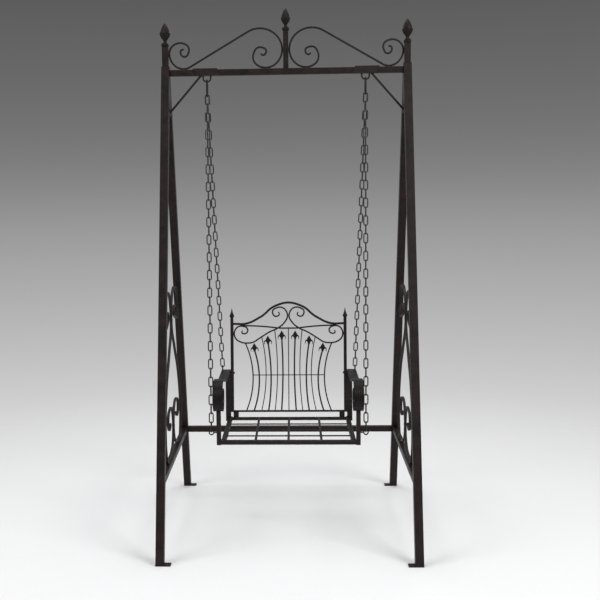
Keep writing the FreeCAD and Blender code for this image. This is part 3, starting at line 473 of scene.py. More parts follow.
beamBottom, beamTop = reachOf("top_beam", 2)
postInner, postOuter = reachOf("right_upper_post", 0)
centrePostEdge = reachOf("centre_post", 0)[1]
sideX = (postInner + postOuter) / 2
weldGap = 0.3 * mm  # left between a scroll and what it's welded to

beamScroll = {
    "bar": 7.5 * mm,
    "depth": 7.5 * mm,
    "peak": 2032 * mm,
    "corner": 1.1 * mm,
    "tipLength": 16 * mm,
    "taper": 0.15,
    # the snub at each inner end: its radius and how far it turns, in degrees
    "hook": (9 * mm, 105),
    # rows of the shares that touch the side post, beam and centre post, and which way
    "welds": [(4, (1, 0)), (5, (0, -1)), (9, (-1, 0)), (10, (0, -1))],
    # x share from the centre post out, z share from the beam up, direction
    "shares": [
        (0.900, 0.450), (0.875, 0.314), (0.825, 0.463), (0.904, 0.663, 0), (1.000, 0.392, -90),
        (0.875, 0.000, 180), (0.821, 0.042, 150.1), (0.300, 0.920, 150.1), (0.197, 1.000, 180),
        (0.000, 0.456, -90), (0.147, 0.000, 0), (0.257, 0.301), (0.193, 0.521), (0.140, 0.405),
        (0.158, 0.327),
    ],
}


def weldedScroll(name, node, table, flip, plane, look, welds):
    # a scroll with weld beads at rows of its table, mirrored where flip is -1
    curve = mirrored(table) if flip < 0 else table
    section = roundedSection(look["bar"], look["depth"], look["corner"])
    mesh = newMesh()
    forgedBar(mesh, curve, section, plane, look["taper"], look["tipLength"], hook=look["hook"])
    for row, (x, z) in welds:
        addBeads(mesh, Vector(curve[row][:2]), Vector((flip * x, z)), look, plane)
    finishMesh(name, mesh, forgedPaint, "stand", node)


off = beamScroll["bar"] / 2 + weldGap
table = boxed(beamScroll["shares"], centrePostEdge + off, postInner - off, beamTop + off, beamScroll["peak"])
for sideName, side in bothSides:
    weldedScroll(sideName + "BeamScrollBar", sideName + "_beam_scroll", table, side, onFrontPlane(),
                 beamScroll, beamScroll["welds"])

sideScroll = {
    "bar": 5 * mm,
    "depth": 11 * mm,
    "reach": 262 * mm,
    "top": 985 * mm,
    "corner": 1.0 * mm,
    "tipLength": 18 * mm,
    "taper": 0.1,
    "hook": (10 * mm, 95),
    # rows of the finished table that touch the other scroll, the rail and that scroll again
    "welds": [(5, (-1, 0)), (10, (0, -1)), (11, (-1, 0))],
    # the upper curl ends where the bar touches the leg, at this height share
    "upperCurl": [(0.466, 0.883), (0.355, 0.855), (0.534, 0.802)],
    "touchShare": 0.870,
    "shares": [
        (0.420, 1.000, 180), (0.000, 0.816, -90), (0.382, 0.609), (0.737, 0.464), (1.000, 0.195),
        (0.981, 0.109), (0.763, 0.000, 180), (0.000, 0.159, 90), (0.324, 0.295, 0), (0.649, 0.229, -90),
        (0.420, 0.185),
    ],
}
legSizes = {"half": 16 * mm, "spread": 505 * mm, "headHeight": 1888 * mm}
lean = math.atan(legSizes["spread"] / legSizes["headHeight"])
legFoot = legSizes["spread"] + legSizes["half"] / math.cos(lean)  # where a leg's outer face meets the floor
legAngle = math.atan((legFoot - legSizes["half"]) / legSizes["headHeight"])

off = sideScroll["bar"] / 2 + weldGap
area = (off - weldGap / 2, sideScroll["reach"], reachOf("right_side_rail", 2)[1] + off, sideScroll["top"])
touchZ = area[2] + sideScroll["touchShare"] * (area[3] - area[2])
touchY = legSizes["spread"] - math.tan(legAngle) * touchZ - (legSizes["half"] + off) / math.cos(legAngle)
upperCurl = boxed(sideScroll["upperCurl"], *area)
table = upperCurl + [(touchY, touchZ, 90 + legAngle / deg)] + boxed(sideScroll["shares"], *area)
legWeld = (len(upperCurl), (math.cos(legAngle), math.sin(legAngle)))
for sideName, side in bothSides:
    for endName, end in (("front", -1), ("rear", 1)):
        weldedScroll(sideName + endName.capitalize() + "SideScrollBar", sideName + "_" + endName + "_scroll",
                     table, end, onSidePlane(side * sideX), sideScroll, [legWeld] + sideScroll["welds"])
print("stand scrolls forged")


# Cast finials: a square collar, a cup of overlapping leaves and a fluted bud

finialLook = {
    "turn": 84,  # points around
    "rise": 90,  # rings from collar to tip, a little closer towards the tip
    "crowding": 0.92,
    "leaves": 6,
    # height shares: a leaf's foot, the notch between two leaves, a leaf's tip
    "leafFoot": 0.26,
    "leafNotch": 0.40,
    "leafTip": 0.60,
    "leafPoint": 1.6,  # how pointed a leaf is
    "leafLift": 0.22,  # radius share by which a leaf stands off at its tip
    "footLift": 0.3,  # share of that lift near its foot
    "liftRise": 0.10,  # height share over which it comes off the form
    "leafBend": 0.35,  # how much it falls away beside its midrib
    "ribHeight": 0.025,
    "ribWidth": 0.12,
    "edgeFade": 0.035,  # height share over which its edge thins
    # a second row of leaves stands lower, between the first
    "backRowDrop": 0.10,
    "backRowShare": 0.7,
    "flutes": 12,
    "fluteDepth": 0.035,
    "fluteFade": 0.25,
    "fluteRound": 0.6,
    # height share, radius share of the smooth form under the leaves
    "form": [(0.15, 0.34), (0.20, 0.28), (0.25, 0.31), (0.32, 0.47), (0.40, 0.63), (0.48, 0.74),
             (0.56, 0.80), (0.62, 0.79), (0.68, 0.74), (0.76, 0.62), (0.84, 0.47), (0.91, 0.30),
             (0.96, 0.17), (1.0, 0.04)],
    "collarWidth": 28.5 * mm,
    "collarCorner": 2.5 * mm,
    # height share, width share of the square collar's moulded edge
    "collar": [(0.0, 0.94), (0.03, 1.0), (0.09, 1.0), (0.115, 0.86), (0.15, 0.72)],
}


def smoothProfile(rows, t):
    # radius at a height, eased between the rows
    for i, ((t0, r0), (t1, r1)) in enumerate(zip(rows, rows[1:])):
        if t <= t1:
            span = t1 - t0
            k = (t - t0) / span
            before = rows[i - 1] if i else (t0 - span, r0)
            after = rows[i + 2] if i + 2 < len(rows) else (t1 + span, r1)
            m0 = (r1 - before[1]) / (t1 - before[0]) * span
            m1 = (after[1] - r0) / (after[0] - t0) * span
            return ((2 * k ** 3 - 3 * k ** 2 + 1) * r0 + (k ** 3 - 2 * k ** 2 + k) * m0
                    + (3 * k ** 2 - 2 * k ** 3) * r1 + (k ** 3 - k ** 2) * m1)
    return rows[-1][1]


def leafRelief(angle, t, shift, look):
    # how far a ring of pointed leaves stands off the form, with its raised midrib
    turn = (angle * look["leaves"] / (2 * math.pi) + shift) % 1.0
    fromRib = abs(turn - 0.5) * 2
    tip = (look["leafNotch"] + (look["leafTip"] - look["leafNotch"]) * (1 - fromRib ** look["leafPoint"])
           - shift * look["backRowDrop"])
    if t > tip or t < look["leafFoot"]:
        return 0.0
    opening = look["footLift"] + (1 - look["footLift"]) * (t / tip) ** 4
    swell = min(1.0, (t - look["leafFoot"]) / look["liftRise"]) * look["leafLift"] * opening
    rib = look["ribHeight"] * max(0.0, 1 - fromRib / look["ribWidth"])
    fade = math.sin(math.pi / 2 * min(1.0, (tip - t) / look["edgeFade"]))
    return (swell * (1 - look["leafBend"] * fromRib ** 2) + rib) * fade


def castFinial(name, node, look):
    low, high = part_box(node)
    base = Vector(((low[0] + high[0]) / 2, (low[1] + high[1]) / 2, low[2]))
    width, height = high[0] - low[0], high[2] - low[2]
    mesh = newMesh()
    rings = []
    foot = look["form"][0][0]
    for j in range(look["rise"] + 1):
        t = foot + (1 - foot) * (j / look["rise"]) ** look["crowding"]
        radius = smoothProfile(look["form"], t)
        ring = []
        for i in range(look["turn"]):
            angle = 2 * math.pi * i / look["turn"]
            relief = max(leafRelief(angle, t, 0.0, look),
                         leafRelief(angle, t, 0.5, look) * look["backRowShare"])
            if t > look["leafNotch"] and relief == 0.0:
                groove = abs(math.sin(angle * look["flutes"] / 2)) ** look["fluteRound"]
                relief = -look["fluteDepth"] * min(1.0, (1 - t) / look["fluteFade"]) * groove
            reach = min(1.0, radius + relief) * width / 2
            spot = Vector((reach * math.cos(angle), reach * math.sin(angle), t * height))
            ring.append(mesh.verts.new(base + spot))
        rings.append(ring)
    closedSkin(mesh, rings)
    stations = [(base + up * (t * height), across, rearward, share) for t, share in look["collar"]]
    sweep(mesh, stations, roundedSection(look["collarWidth"], look["collarWidth"], look["collarCorner"], 3))
    finishMesh(name, mesh, castPaint, "stand", node, sharpAngle=40)


for sideName in ("left", "right", "centre"):
    castFinial(sideName + "AcornFinial", sideName + "_finial", finialLook)
print("finials cast")


# Round rod fittings: staples, rings, eyes

fittings = {
    "stapleRod": 6.6 * mm,
    "stapleWidth": 37 * mm,
    "stapleSteps": 16,
    "stapleEnd": 2 * mm,  # straight below the beam
    "ringSteps": 10,
    "ringWeld": 1.10,
    # points to each side of a bearing place over which the paint is rubbed
    "stapleWear": 3.5,
    "ringWear": 3.0,
    "eyeRod": 5 * mm,
    "eyeWidth": 22 * mm,
    "eyeSteps": 28,
    "eyeSeat": 3 * mm,  # how far a shank runs into its eye
}


def stadium(centre, wide, long, width, length, steps):
    # a loop of two straights and two half turns, as points along the middle of its rod
    radius = width / 2
    straight = length / 2 - radius
    points = []
    for end in (1, -1):
        for i in range(steps + 1):
            angle = math.pi * i / steps
            points.append(centre + wide * (end * radius * math.cos(angle))
                          + long * (end * (straight + radius * math.sin(angle))))
    return points


mesh = newMesh()
half = (fittings["stapleWidth"] - fittings["stapleRod"]) / 2
bearing = frame["joints"][0]["pos_m"][2]
hangerX = sum(reachOf("right_hanging_ring", 0)) / 2
turns = [math.pi * i / fittings["stapleSteps"] for i in range(fittings["stapleSteps"] + 1)]
for side in (-1, 1):
    x = side * hangerX
    ends = [[Vector((x + out, 0, beamBottom - drop)) for drop in (0, fittings["stapleEnd"])]
            for out in (-half, half)]
    bend = [Vector((x - half * math.cos(turn), 0, bearing + half * (1 - math.sin(turn)))) for turn in turns]
    points = ends[0] + bend + ends[1][::-1]
    middle = len(points) // 2
    rodSweep(mesh, points, fittings["stapleRod"],
             wear=lambda i: max(0.0, 1 - abs(i - middle) / fittings["stapleWear"]))
finishMesh("hangerStapleRods", mesh, forgedPaint, "stand", "hanger_staples")

for sideName in ("left", "right"):
    low, high = (Vector(corner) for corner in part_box(sideName + "_hanging_ring"))
    rod, width, length = high - low
    steps = fittings["ringSteps"]
    points = stadium((low + high) / 2, rearward, up, width - rod, length - rod, steps)
    mesh = newMesh()
    rodSweep(mesh, points, rod, closed=True, sides=16,
             bulge=lambda i: fittings["ringWeld"] if i == len(points) - 1 else 1.0,
             wear=lambda i: max(0.0, 1 - abs(i % (steps + 1) - steps / 2) / fittings["ringWear"]))
    finishMesh(sideName + "LongRing", mesh, forgedPaint, "swing", sideName + "_hanging_ring")


seat = {
    "frontY": -240 * mm,
    "rearY": 205 * mm,
    "frontEye": (304.2 * mm, 441 * mm),
    "rearEye": (287.8 * mm, 619.5 * mm),
    "frontPostOuter": 283.3 * mm,
    "armRear": 606 * mm,
}
eyeEdge = fittings["eyeWidth"] / 2 - fittings["eyeSeat"]
eyeCircle = roundSection(fittings["eyeWidth"] - fittings["eyeRod"], fittings["eyeSteps"])


def eyeBolts(name, node, eye, y, flat, shank):
    # an eye per side and its shank; the shank's ends are given as (x, z) on the right side
    mesh = newMesh()
    for side in (-1, 1):
        centre = Vector((side * eye[0], y, eye[1]))
        loop = [centre + flat * x + up * z for x, z in eyeCircle]
        rodSweep(mesh, loop, fittings["eyeRod"], closed=True)
        rodSweep(mesh, [Vector((side * x, y, z)) for x, z in shank], fittings["eyeRod"])
    finishMesh(name, mesh, forgedPaint, "swing", node)


x, z = seat["frontEye"]
eyeBolts("frontEyeBolts", "front_chain_eyes", (x, z), seat["frontY"], across,
         [(seat["frontPostOuter"], z), (x - eyeEdge, z)])
x, z = seat["rearEye"]
eyeBolts("rearEyeBolts", "rear_chain_eyes", (x, z), seat["rearY"], rearward,
         [(x, seat["armRear"]), (x, z - eyeEdge)])
print("fittings bent")


# Chains: each welded link takes the place of its CAD link

chainLook = {
    "sides": 10,
    "steps": 8,
    "weldBulge": 1.16,
    "weldShoulder": 1.08,
    "weldShare": 0.08,  # of the straight, from the weld's middle to its shoulder
    "weldFoot": 1.6,  # times that, to where it ends
    "wearReach": 0.38,  # of a half turn, to each side of where two links bear
    "wearMost": 0.9,
}


def islands(node):
    # groups of vertices that belong together, one group per link
    data = nodes[node].data
    spots = {}
    keys = [tuple(round(c / (0.01 * mm)) for c in vert.co) for vert in data.vertices]
    owner = [spots.setdefault(key, len(spots)) for key in keys]
    parent = list(range(len(spots)))

    def root(i):
        while parent[i] != i:
            parent[i] = parent[parent[i]]
            i = parent[i]
        return i

    for edge in data.edges:
        a, b = root(owner[edge.vertices[0]]), root(owner[edge.vertices[1]])
        parent[a] = b
    groups = {}
    seen = set()
    for spot, vert in zip(owner, data.vertices):
        if spot not in seen:
            seen.add(spot)
            groups.setdefault(root(spot), []).append(Vector(vert.co))
    return list(groups.values())


def weldedLink(mesh, group, centre, run, axes):
    # a link as long and wide as its CAD link, whose weld stands proud in the middle of one side
    look = chainLook
    steps = look["steps"]
    half, *halves = [max(abs((v - centre).dot(axis)) for v in group) for axis in (run, *axes)]
    wire = 2 * min(halves)
    wide = axes[0] if halves[0] > halves[1] else axes[1]
    points = stadium(centre, wide, run, 2 * max(halves) - wire, 2 * half - wire, steps)
    middle = (points[-1] + points[0]) / 2
    along = (points[0] - points[-1]) * look["weldShare"]
    points += [middle + along * step for step in (-look["weldFoot"], -1, 0, 1, look["weldFoot"])]
    weld = len(points) - 3
    swelling = {weld - 1: look["weldShoulder"], weld: look["weldBulge"], weld + 1: look["weldShoulder"]}

    def wear(i):
        if i > 2 * steps + 1:
            return 0.0
        fromEnd = abs((i % (steps + 1)) - steps / 2)
        return max(0.0, 1 - fromEnd / (steps * look["wearReach"])) * look["wearMost"]

    rodSweep(mesh, points, wire, True, look["sides"], lambda i: swelling.get(i, 1.0), wear)


def weldedChain(name, node):
    links = [(sum(group, Vector()) / len(group), group) for group in islands(node)]
    links.sort(key=lambda link: -link[0].z)
    run = (links[-1][0] - links[0][0]).normalized()
    sideAxis = (across - run * run.x).normalized()
    mesh = newMesh()
    for centre, group in links:
        weldedLink(mesh, group, centre, run, (sideAxis, run.cross(sideAxis)))
    finishMesh(name, mesh, chainLacquer, "swing", node, sharpAngle=60)


for sideName in ("left", "right"):
    for endName in ("front", "rear"):
        weldedChain(sideName + endName.capitalize() + "WeldedChain", sideName + "_" + endName + "_chain")
print("chains linked")


# Arms: a ribbed flat band that rolls over at the front

armBand = {
    "width": 40 * mm,
    "thickness": 5 * mm,
    "frontHeight": 650 * mm,
    "rearReach": 30 * mm,
    "levelShare": 0.42,  # of the run from the rear forwards that stays level
    "rollDiameter": 122 * mm,
    "taper": 0.25,
    "tipLength": 18 * mm,
    "ribs": 5,
    "ribDepth": 0.9 * mm,
    "ribSteps": 8,
    "edge": 1.6 * mm,
    "edgeRound": (0.6, 0.3),  # shares of the edge, across and along the band
    # the roll, in shares of its radius from its middle
    "shares": [(-1.000, 0.000, -90), (0.000, -1.000, 0), (0.775, -0.062, 90), (-0.100, 0.465, 180),
               (-0.465, 0.000, -90), (0.000, -0.300)],
}


def ribbedSection(look):
    # a flat band with rounded edges, whose outer face is rolled with lengthwise ribs
    halfThick, halfWide, edge = look["thickness"] / 2, look["width"] / 2, look["edge"]
    steps = look["ribs"] * look["ribSteps"]
    points = []
    for i in range(steps + 1):
        share = i / steps
        wave = 0.5 + 0.5 * math.cos(2 * math.pi * look["ribs"] * share)
        groove = look["ribDepth"] * wave if 0 < i < steps else 0.0
        points.append((groove - halfThick, (2 * share - 1) * (halfWide - edge)))
    inX, inY = (edge * share for share in look["edgeRound"])
    rim = [(inX - halfThick, halfWide - inY), (0.0, halfWide), (halfThick - inX, halfWide - inY),
           (halfThick, halfWide - edge)]
    return points + rim + [(x, -y) for x, y in reversed(rim)]


half = armBand["thickness"] / 2
radius = armBand["rollDiameter"] / 2 - half
rollZ = armBand["frontHeight"] - armBand["rollDiameter"] / 2
rearY, frontY = seat["rearY"], seat["frontY"]
low = seat["armRear"] - half
table = [(rearY + armBand["rearReach"], low, 180),
         (rearY - armBand["levelShare"] * (rearY - frontY), low, 180),
         (frontY, armBand["frontHeight"] - half, 180)]
table += boxed(armBand["shares"], frontY, frontY + radius, rollZ, rollZ + radius)
armX = sum(reachOf("right_arm", 0)) / 2
for sideName, side in bothSides:
    mesh = newMesh()
    forgedBar(mesh, table, ribbedSection(armBand), onSidePlane(side * armX), armBand["taper"],
              armBand["tipLength"])
    # the arms take the darker paint, which is painted shade on their rolls
    finishMesh(sideName + "RolledArmBand", mesh, armShadedPaint, "swing", sideName + "_arm",
               sharpAngle=50)
print("arms rolled")


# Back: camelback rail, scrolls, bowed bars and cast spear heads

back = {
    "leanRun": 49 * mm,
    "height": 508 * mm,
    "depth": 10 * mm,
    "originZ": 400 * mm,
    "innerX": 240.5 * mm,
    "scrollBar": 6.5 * mm,
    "scrollTaper": 0.3,
    "scrollTip": 25 * mm,
    "camelBar": 9.5 * mm,
    "camelCorner": 1.6 * mm,
    "spearBar": 6.5 * mm,
    "thinBar": 4 * mm,
    "outerBar": 5.5 * mm,
    "barCorner": 0.9 * mm,
    # degrees between the sections of the curls and of the long shallow bars
    "scrollStep": 5.0,
    "barStep": 3.0,
    "bottomTop": 28.5 * mm,
    "sink": 4 * mm,  # how far the upright bars run into the bottom rail
    "spearHeight": 40 * mm,
    "spearWidth": 37 * mm,
    "shaftInHead": 6 * mm,
}
# x share from the middle to the back post, z share of the back's height, direction
backShares = {
    "camel": [(1.000, 0.802, 180), (0.767, 0.804), (0.500, 0.862), (0.254, 0.951), (0.000, 0.983, 180)],
    "cross": [(0.870, 0.784, 180), (0.735, 0.785), (0.504, 0.780), (0.280, 0.770), (0.178, 0.764),
              (0.000, 0.763, 180)],
    "scroll": [(0.174, 0.902), (0.153, 0.887), (0.212, 0.865), (0.280, 0.902), (0.178, 0.942, 164),
               (0.000, 0.870, -90), (0.064, 0.809), (0.182, 0.764), (0.331, 0.733), (0.517, 0.680),
               (0.657, 0.642), (0.775, 0.636, 0), (1.000, 0.717, 90), (0.873, 0.783, 180),
               (0.746, 0.746, -90), (0.805, 0.717), (0.856, 0.727), (0.839, 0.743)],
    "spears": [[(0.616, 0.636), (0.535, 0.305), (0.636, 0.056)],
               [(0.370, 0.699), (0.320, 0.369), (0.370, 0.056)],
               [(0.121, 0.742), (0.104, 0.369), (0.133, 0.056)]],
    "thin": [[(0.487, 0.690), (0.411, 0.369), (0.498, 0.056)],
             [(0.249, 0.752), (0.204, 0.369), (0.253, 0.056)]],
    "outer": [[(0.790, 0.640), (0.650, 0.369), (0.775, 0.056)]],
    "centreTop": 0.756,
}

backLean = math.atan(back["leanRun"] / back["height"])
backMatrix = (Matrix.Translation(Vector((0, seat["rearY"], back["originZ"])))
              @ Matrix.Rotation(-backLean, 4, "X"))
layerDepth = (back["depth"] - weldGap) / 2
rearLayer = (back["depth"] + weldGap) / 4  # scrolls lie in front of the middle, straight bars behind
frontPlane = onFrontPlane(-rearLayer, backMatrix)
rearPlane = onFrontPlane(rearLayer, backMatrix)
uprightFoot = back["bottomTop"] - back["sink"]


def backTable(shares):
    return boxed(shares, 0, back["innerX"], 0, back["height"])


def bothHalves(table):
    return table + mirrored(table[:-1], 360)[::-1]


def backBar(mesh, table, width, plane=rearPlane, taper=0.0, tipLength=0.0, step=back["barStep"]):
    # a bar of the back's scrolls and uprights, half as deep as the back
    section = roundedSection(width, layerDepth, back["barCorner"])
    forgedBar(mesh, table, section, plane, taper, tipLength, step)


def backPiece(name, mesh, node, material=forgedPaint, sharpAngle=32):
    finishMesh(name, mesh, material, "swing", node, sharpAngle)


mesh = newMesh()
section = roundedSection(back["camelBar"], back["depth"], back["camelCorner"])
forgedBar(mesh, bothHalves(backTable(backShares["camel"])), section, onFrontPlane(0, backMatrix),
          step=back["barStep"])
backPiece("camelbackTopRail", mesh, "camelback_rail")

mesh = newMesh()
backBar(mesh, bothHalves(backTable(backShares["cross"])), back["scrollBar"])
backPiece("bowedCrossRail", mesh, "back_cross_rail")

inset = back["scrollBar"] / 2 + weldGap
for sideName, side in bothSides:
    table = boxed(backShares["scroll"], inset - weldGap / 2, back["innerX"] - inset,
                  0, back["height"])
    mesh = newMesh()
    backBar(mesh, mirrored(table) if side < 0 else table, back["scrollBar"], frontPlane,
            back["scrollTaper"], back["scrollTip"], back["scrollStep"])
    backPiece(sideName + "BackScrollBar", mesh, sideName + "_back_scroll")


def bowedBars(name, node, tables, width, shortened=0.0, middleTop=None):
    # upright bars on both sides, shortened at the top for a cast head, and one in the middle where
    # middleTop is given, all let into the bottom rail
    mesh = newMesh()
    for side in (-1, 1):
        for shares in tables:
            table = backTable(shares)
            table[0] = (table[0][0], table[0][1] - shortened)
            table[-1] = (table[-1][0], uprightFoot)
            backBar(mesh, mirrored(table) if side < 0 else table, width)
    if middleTop:
        backBar(mesh, [(0, middleTop, -90), (0, uprightFoot, -90)], width)
    backPiece(name, mesh, node)


bowedBars("spearShaftBars", "spear_bars", backShares["spears"], back["spearBar"],
          back["spearHeight"] - back["shaftInHead"])
bowedBars("slenderBackBars", "thin_bars", backShares["thin"], back["thinBar"],
          middleTop=backShares["centreTop"] * back["height"])
bowedBars("bowedOuterBars", "outer_back_bars", backShares["outer"], back["outerBar"])

spearLook = {
    # x share of the head's width and z share of its height along the blade's edge
    "blade": [(0.09, 0.12), (0.17, 0.24), (0.25, 0.36), (0.285, 0.49), (0.235, 0.65), (0.115, 0.83),
              (0.0, 1.0)],
    "bladeThick": 5 * mm,
    "bladeSection": [(-1, 0), (-0.5, 0.75), (0, 1), (0.5, 0.75), (1, 0), (0.5, -0.75), (0, -1),
                     (-0.5, -0.75)],
    "pointThin": 0.25,  # share of its thickness that the blade has at the point
    "thickenOver": 0.2,  # x share over which it would gain its whole thickness
    "pointWidth": 0.012,
    # the side leaf's middle line, and how its thickness swells and thins along it
    "barb": [(0.04, 0.30), (0.19, 0.48), (0.35, 0.41), (0.43, 0.21), (0.40, 0.06)],
    "barbThick": 6.6 * mm,
    "barbSides": 10,
    "barbStep": 8.0,
    "barbRoot": 0.65,
    "barbSwell": 0.55,
    "barbThin": 0.25,
    "swellReach": 1.15,
    # the band that wraps the root: shares of the head's width and the blade's thickness, and its rows
    "bandWidth": 0.26,
    "bandThick": 0.96,
    "bandCorner": 1.2 * mm,
    "band": [(0.04, 0.86), (0.07, 1.0), (0.16, 1.0), (0.19, 0.86)],
}


def spearHead(mesh, matrix, look):
    width, height = back["spearWidth"], back["spearHeight"]
    turn = matrix.to_3x3()
    # the blade: a ridge down the middle of both faces, thin at its edges
    rings = []
    for x, z in look["blade"]:
        thick = look["bladeThick"] / 2 * min(1.0, look["pointThin"] + x / look["thickenOver"])
        wide = max(x, look["pointWidth"]) * width
        rings.append([mesh.verts.new(matrix @ Vector((sx * wide, sy * thick, z * height)))
                      for sx, sy in look["bladeSection"]])
    closedSkin(mesh, rings)
    # two side leaves that curl out and down
    for side in (-1, 1):
        path = curvePoints([(side * x * width, z * height) for x, z in look["barb"]], look["barbStep"])
        stations = []
        for index, (spot, tangent) in enumerate(path):
            share = index / (len(path) - 1)
            swell = math.sin(math.pi * min(1.0, share * look["swellReach"]))
            scale = look["barbRoot"] + look["barbSwell"] * swell - look["barbThin"] * share
            first = turn @ Vector((-tangent.y, 0, tangent.x))
            stations.append((matrix @ Vector((spot.x, 0, spot.y)), first, turn @ rearward, scale))
        sweep(mesh, stations, roundSection(look["barbThick"], look["barbSides"]))
    band = roundedSection(look["bandWidth"] * width, look["bladeThick"] * look["bandThick"],
                          look["bandCorner"])
    sweep(mesh, [(matrix @ (up * (z * height)), turn @ across, turn @ rearward, scale)
                 for z, scale in look["band"]], band)


mesh = newMesh()
for side in (-1, 1):
    for shares in backShares["spears"]:
        top, below = backTable(shares)[:2]
        swing = math.atan2(top[0] - below[0], top[1] - below[1]) / 2
        local = (Matrix.Translation(Vector((side * top[0], rearLayer, top[1] - back["spearHeight"])))
                 @ Matrix.Rotation(side * swing, 4, "Y"))
        spearHead(mesh, backMatrix @ local, spearLook)
backPiece("castSpearHeads", mesh, "spear_heads", castPaint, sharpAngle=30)

postFinial = {
    "width": 20 * mm,
    "height": 46 * mm,
    "foot": 430 * mm,
    "rings": 30,
    "cornerShare": 0.34,
    "form": [(0.0, 0.66), (0.05, 0.66), (0.09, 0.60), (0.15, 0.84), (0.22, 1.0), (0.31, 0.98),
             (0.43, 0.72), (0.58, 0.47), (0.78, 0.25), (0.92, 0.13), (1.0, 0.05)],
}
backPostX = sum(reachOf("right_back_post", 0)) / 2
section = roundedSection(postFinial["width"], postFinial["width"],
                         postFinial["width"] * postFinial["cornerShare"], 4)
mesh = newMesh()
for side in (-1, 1):
    stations = []
    for j in range(postFinial["rings"] + 1):
        t = j / postFinial["rings"]
        place = backMatrix @ Vector((side * backPostX, 0, postFinial["foot"] + t * postFinial["height"]))
        stations.append((place, across, backMatrix.to_3x3() @ rearward, smoothProfile(postFinial["form"], t)))
    sweep(mesh, stations, section)
backPiece("backPostSpearFinials", mesh, "back_finials", castPaint, sharpAngle=40)
print("back assembled")


# Floor, background and light

studio = {
    "floorRadius": 7.0,
    "floorColour": "#f2f2f2",
    "floorShade": "#eeeeee",
    "grainSize": 1 / 60,  # metres
    # distances from the middle between which the paper fades into the backdrop
    "fadeFrom": 0.9,
    "fadeTo": 2.9,
    # backdrop grey by height of the view direction, darker upwards
    "gradient": [(-0.39, "#fafafa"), (-0.21, "#d0d0d0"), (-0.02, "#8e8e8e"), (0.17, "#5b5b5b")],
    # the even light that comes from all round, a linear colour
    "glow": (0.97, 0.98, 1.0, 1.0),
    "glowStrength": 0.42,
    # name, place, width and height in metres, power in watts
    "lamps": [("keySoftbox", (3.0, -3.2, 3.2), (2.2, 1.8), 115),
              ("fillSoftbox", (-3.4, -2.4, 3.0), (2.4, 2.4), 68),
              ("topSoftbox", (0.0, 0.6, 4.6), (3.0, 3.0), 85)],
    "lampTarget": Vector((0, 0, 1.0)),
}


# Matt seamless paper: pale and even, with a grain that barely shows. Towards its rim it turns clear,
# so that it fades into the backdrop.
def mattPaper(name):
    material, tree = newMaterial(name)
    coords = addNode(tree, "TexCoord").outputs["Object"]
    distance = addNode(tree, "VectorMath", {"operation": "LENGTH"}, {"Vector": coords}).outputs["Value"]
    grain = addNode(tree, "TexNoise", {"Scale": 1 / studio["grainSize"], "Detail": 3.0},
                    {"Vector": coords}).outputs["Fac"]
    shade, colour = toLinear(studio["floorShade"]), toLinear(studio["floorColour"])
    tone = addNode(tree, "Mix", {"data_type": "RGBA", "A_Color": shade, "B_Color": colour},
                   {"Factor_Float": grain}).outputs[2]
    paper = addNode(tree, "BsdfPrincipled", {"Roughness": 0.9, "IOR": 1.3}, {"Base Color": tone})
    clear = addNode(tree, "BsdfTransparent")
    fade = addNode(tree, "MapRange", {"From Min": studio["fadeFrom"], "From Max": studio["fadeTo"]},
                   {"Value": distance}).outputs[0]
    faded = addNode(tree, "MixShader", None,
                    {"Fac": fade, "Shader": paper.outputs[0], "Shader_001": clear.outputs[0]})
    addNode(tree, "OutputMaterial", None, {"Surface": faded.outputs[0]})
    return material


mesh = bmesh.new()
bmesh.ops.create_circle(mesh, cap_ends=True, segments=96, radius=studio["floorRadius"])
floor = meshObject("studioFloor", mesh, mattPaper("matPaperFloor"))

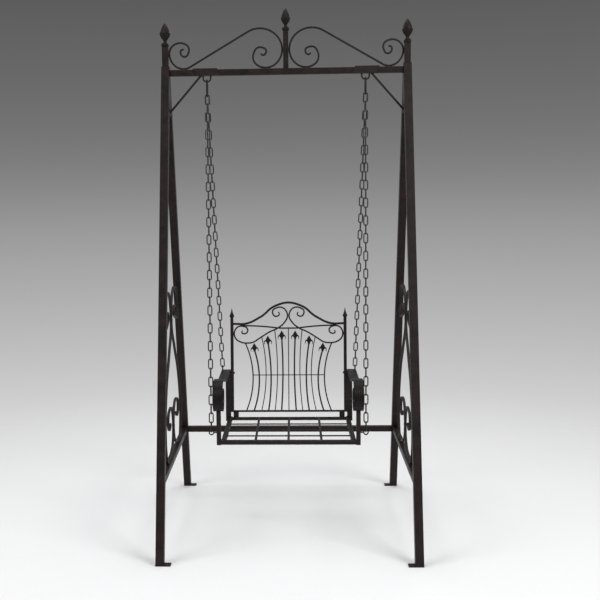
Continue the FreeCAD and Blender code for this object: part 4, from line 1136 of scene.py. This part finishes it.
world = bpy.data.worlds.new("studioWorld")
bpy.context.scene.world = world
world.use_nodes = True
tree = world.node_tree
tree.nodes.clear()
stops = studio["gradient"]
lowest, highest = stops[0][0], stops[-1][0]
direction = addNode(tree, "TexCoord").outputs["Generated"]
height = addNode(tree, "SeparateXYZ", None, {"Vector": direction}).outputs["Z"]
rise = addNode(tree, "MapRange", {"From Min": lowest, "From Max": highest}, {"Value": height}).outputs[0]
ramp = addNode(tree, "ValToRGB", None, {"Fac": rise})
ramp.color_ramp.interpolation = "CARDINAL"
elements = ramp.color_ramp.elements
while len(elements) < len(stops):
    elements.new(0.5)
for element, (z, colour) in zip(elements, stops):
    element.position = (z - lowest) / (highest - lowest)
    element.color = toLinear(colour)
seen = addNode(tree, "Background", {"Strength": 1.0}, {"Color": ramp.outputs[0]})
glow = addNode(tree, "Background", {"Color": studio["glow"], "Strength": studio["glowStrength"]})
rays = addNode(tree, "LightPath")
pick = addNode(tree, "MixShader", None,
               {"Fac": rays.outputs["Is Camera Ray"], "Shader": glow.outputs[0],
                "Shader_001": seen.outputs[0]})
addNode(tree, "OutputWorld", None, {"Surface": pick.outputs[0]})

for name, place, size, power in studio["lamps"]:
    data = bpy.data.lights.new(name, "AREA")
    data.shape = "RECTANGLE"
    data.size, data.size_y = size
    data.energy = power
    lamp = addObject(name, data)
    lamp.location = place
    lamp.rotation_mode = "QUATERNION"
    lamp.rotation_quaternion = (studio["lampTarget"] - Vector(place)).to_track_quat("-Z", "Y")

cameraSetup = {
    "place": Vector((26.9, -4156.4, 1433.3)) * mm,
    "pitch": 6.77 * deg,
    "yaw": 0.0430,  # this and the roll in radians
    "roll": 0.0125,
    "focalPixels": 1016.1,
    "axisShiftPixels": 49.1,  # the photo is cropped to one side of its lens axis
    "framePixels": 600.0,
    "sensor": 36.0,
}


def turned(first, second, angle):
    # two axes turned in their own plane
    c, s = math.cos(angle), math.sin(angle)
    return first * c + second * s, second * c - first * s


right, level = turned(across, rearward, cameraSetup["yaw"])
upward, forward = turned(up, level, cameraSetup["pitch"])
upward, right = turned(upward, right, cameraSetup["roll"])
cameraData = bpy.data.cameras.new("productCamera")
cameraData.sensor_width = cameraSetup["sensor"]
cameraData.lens = cameraSetup["focalPixels"] / cameraSetup["framePixels"] * cameraSetup["sensor"]
cameraData.shift_x = cameraSetup["axisShiftPixels"] / cameraSetup["framePixels"]
cameraData.clip_end = 60.0
camera = addObject("productCamera", cameraData)
axes = Matrix((right, upward, -forward)).transposed().to_4x4()
camera.matrix_world = Matrix.Translation(cameraSetup["place"]) @ axes
bpy.context.scene.camera = camera
bpy.context.scene.view_settings.view_transform = "Standard"
print("studio ready")
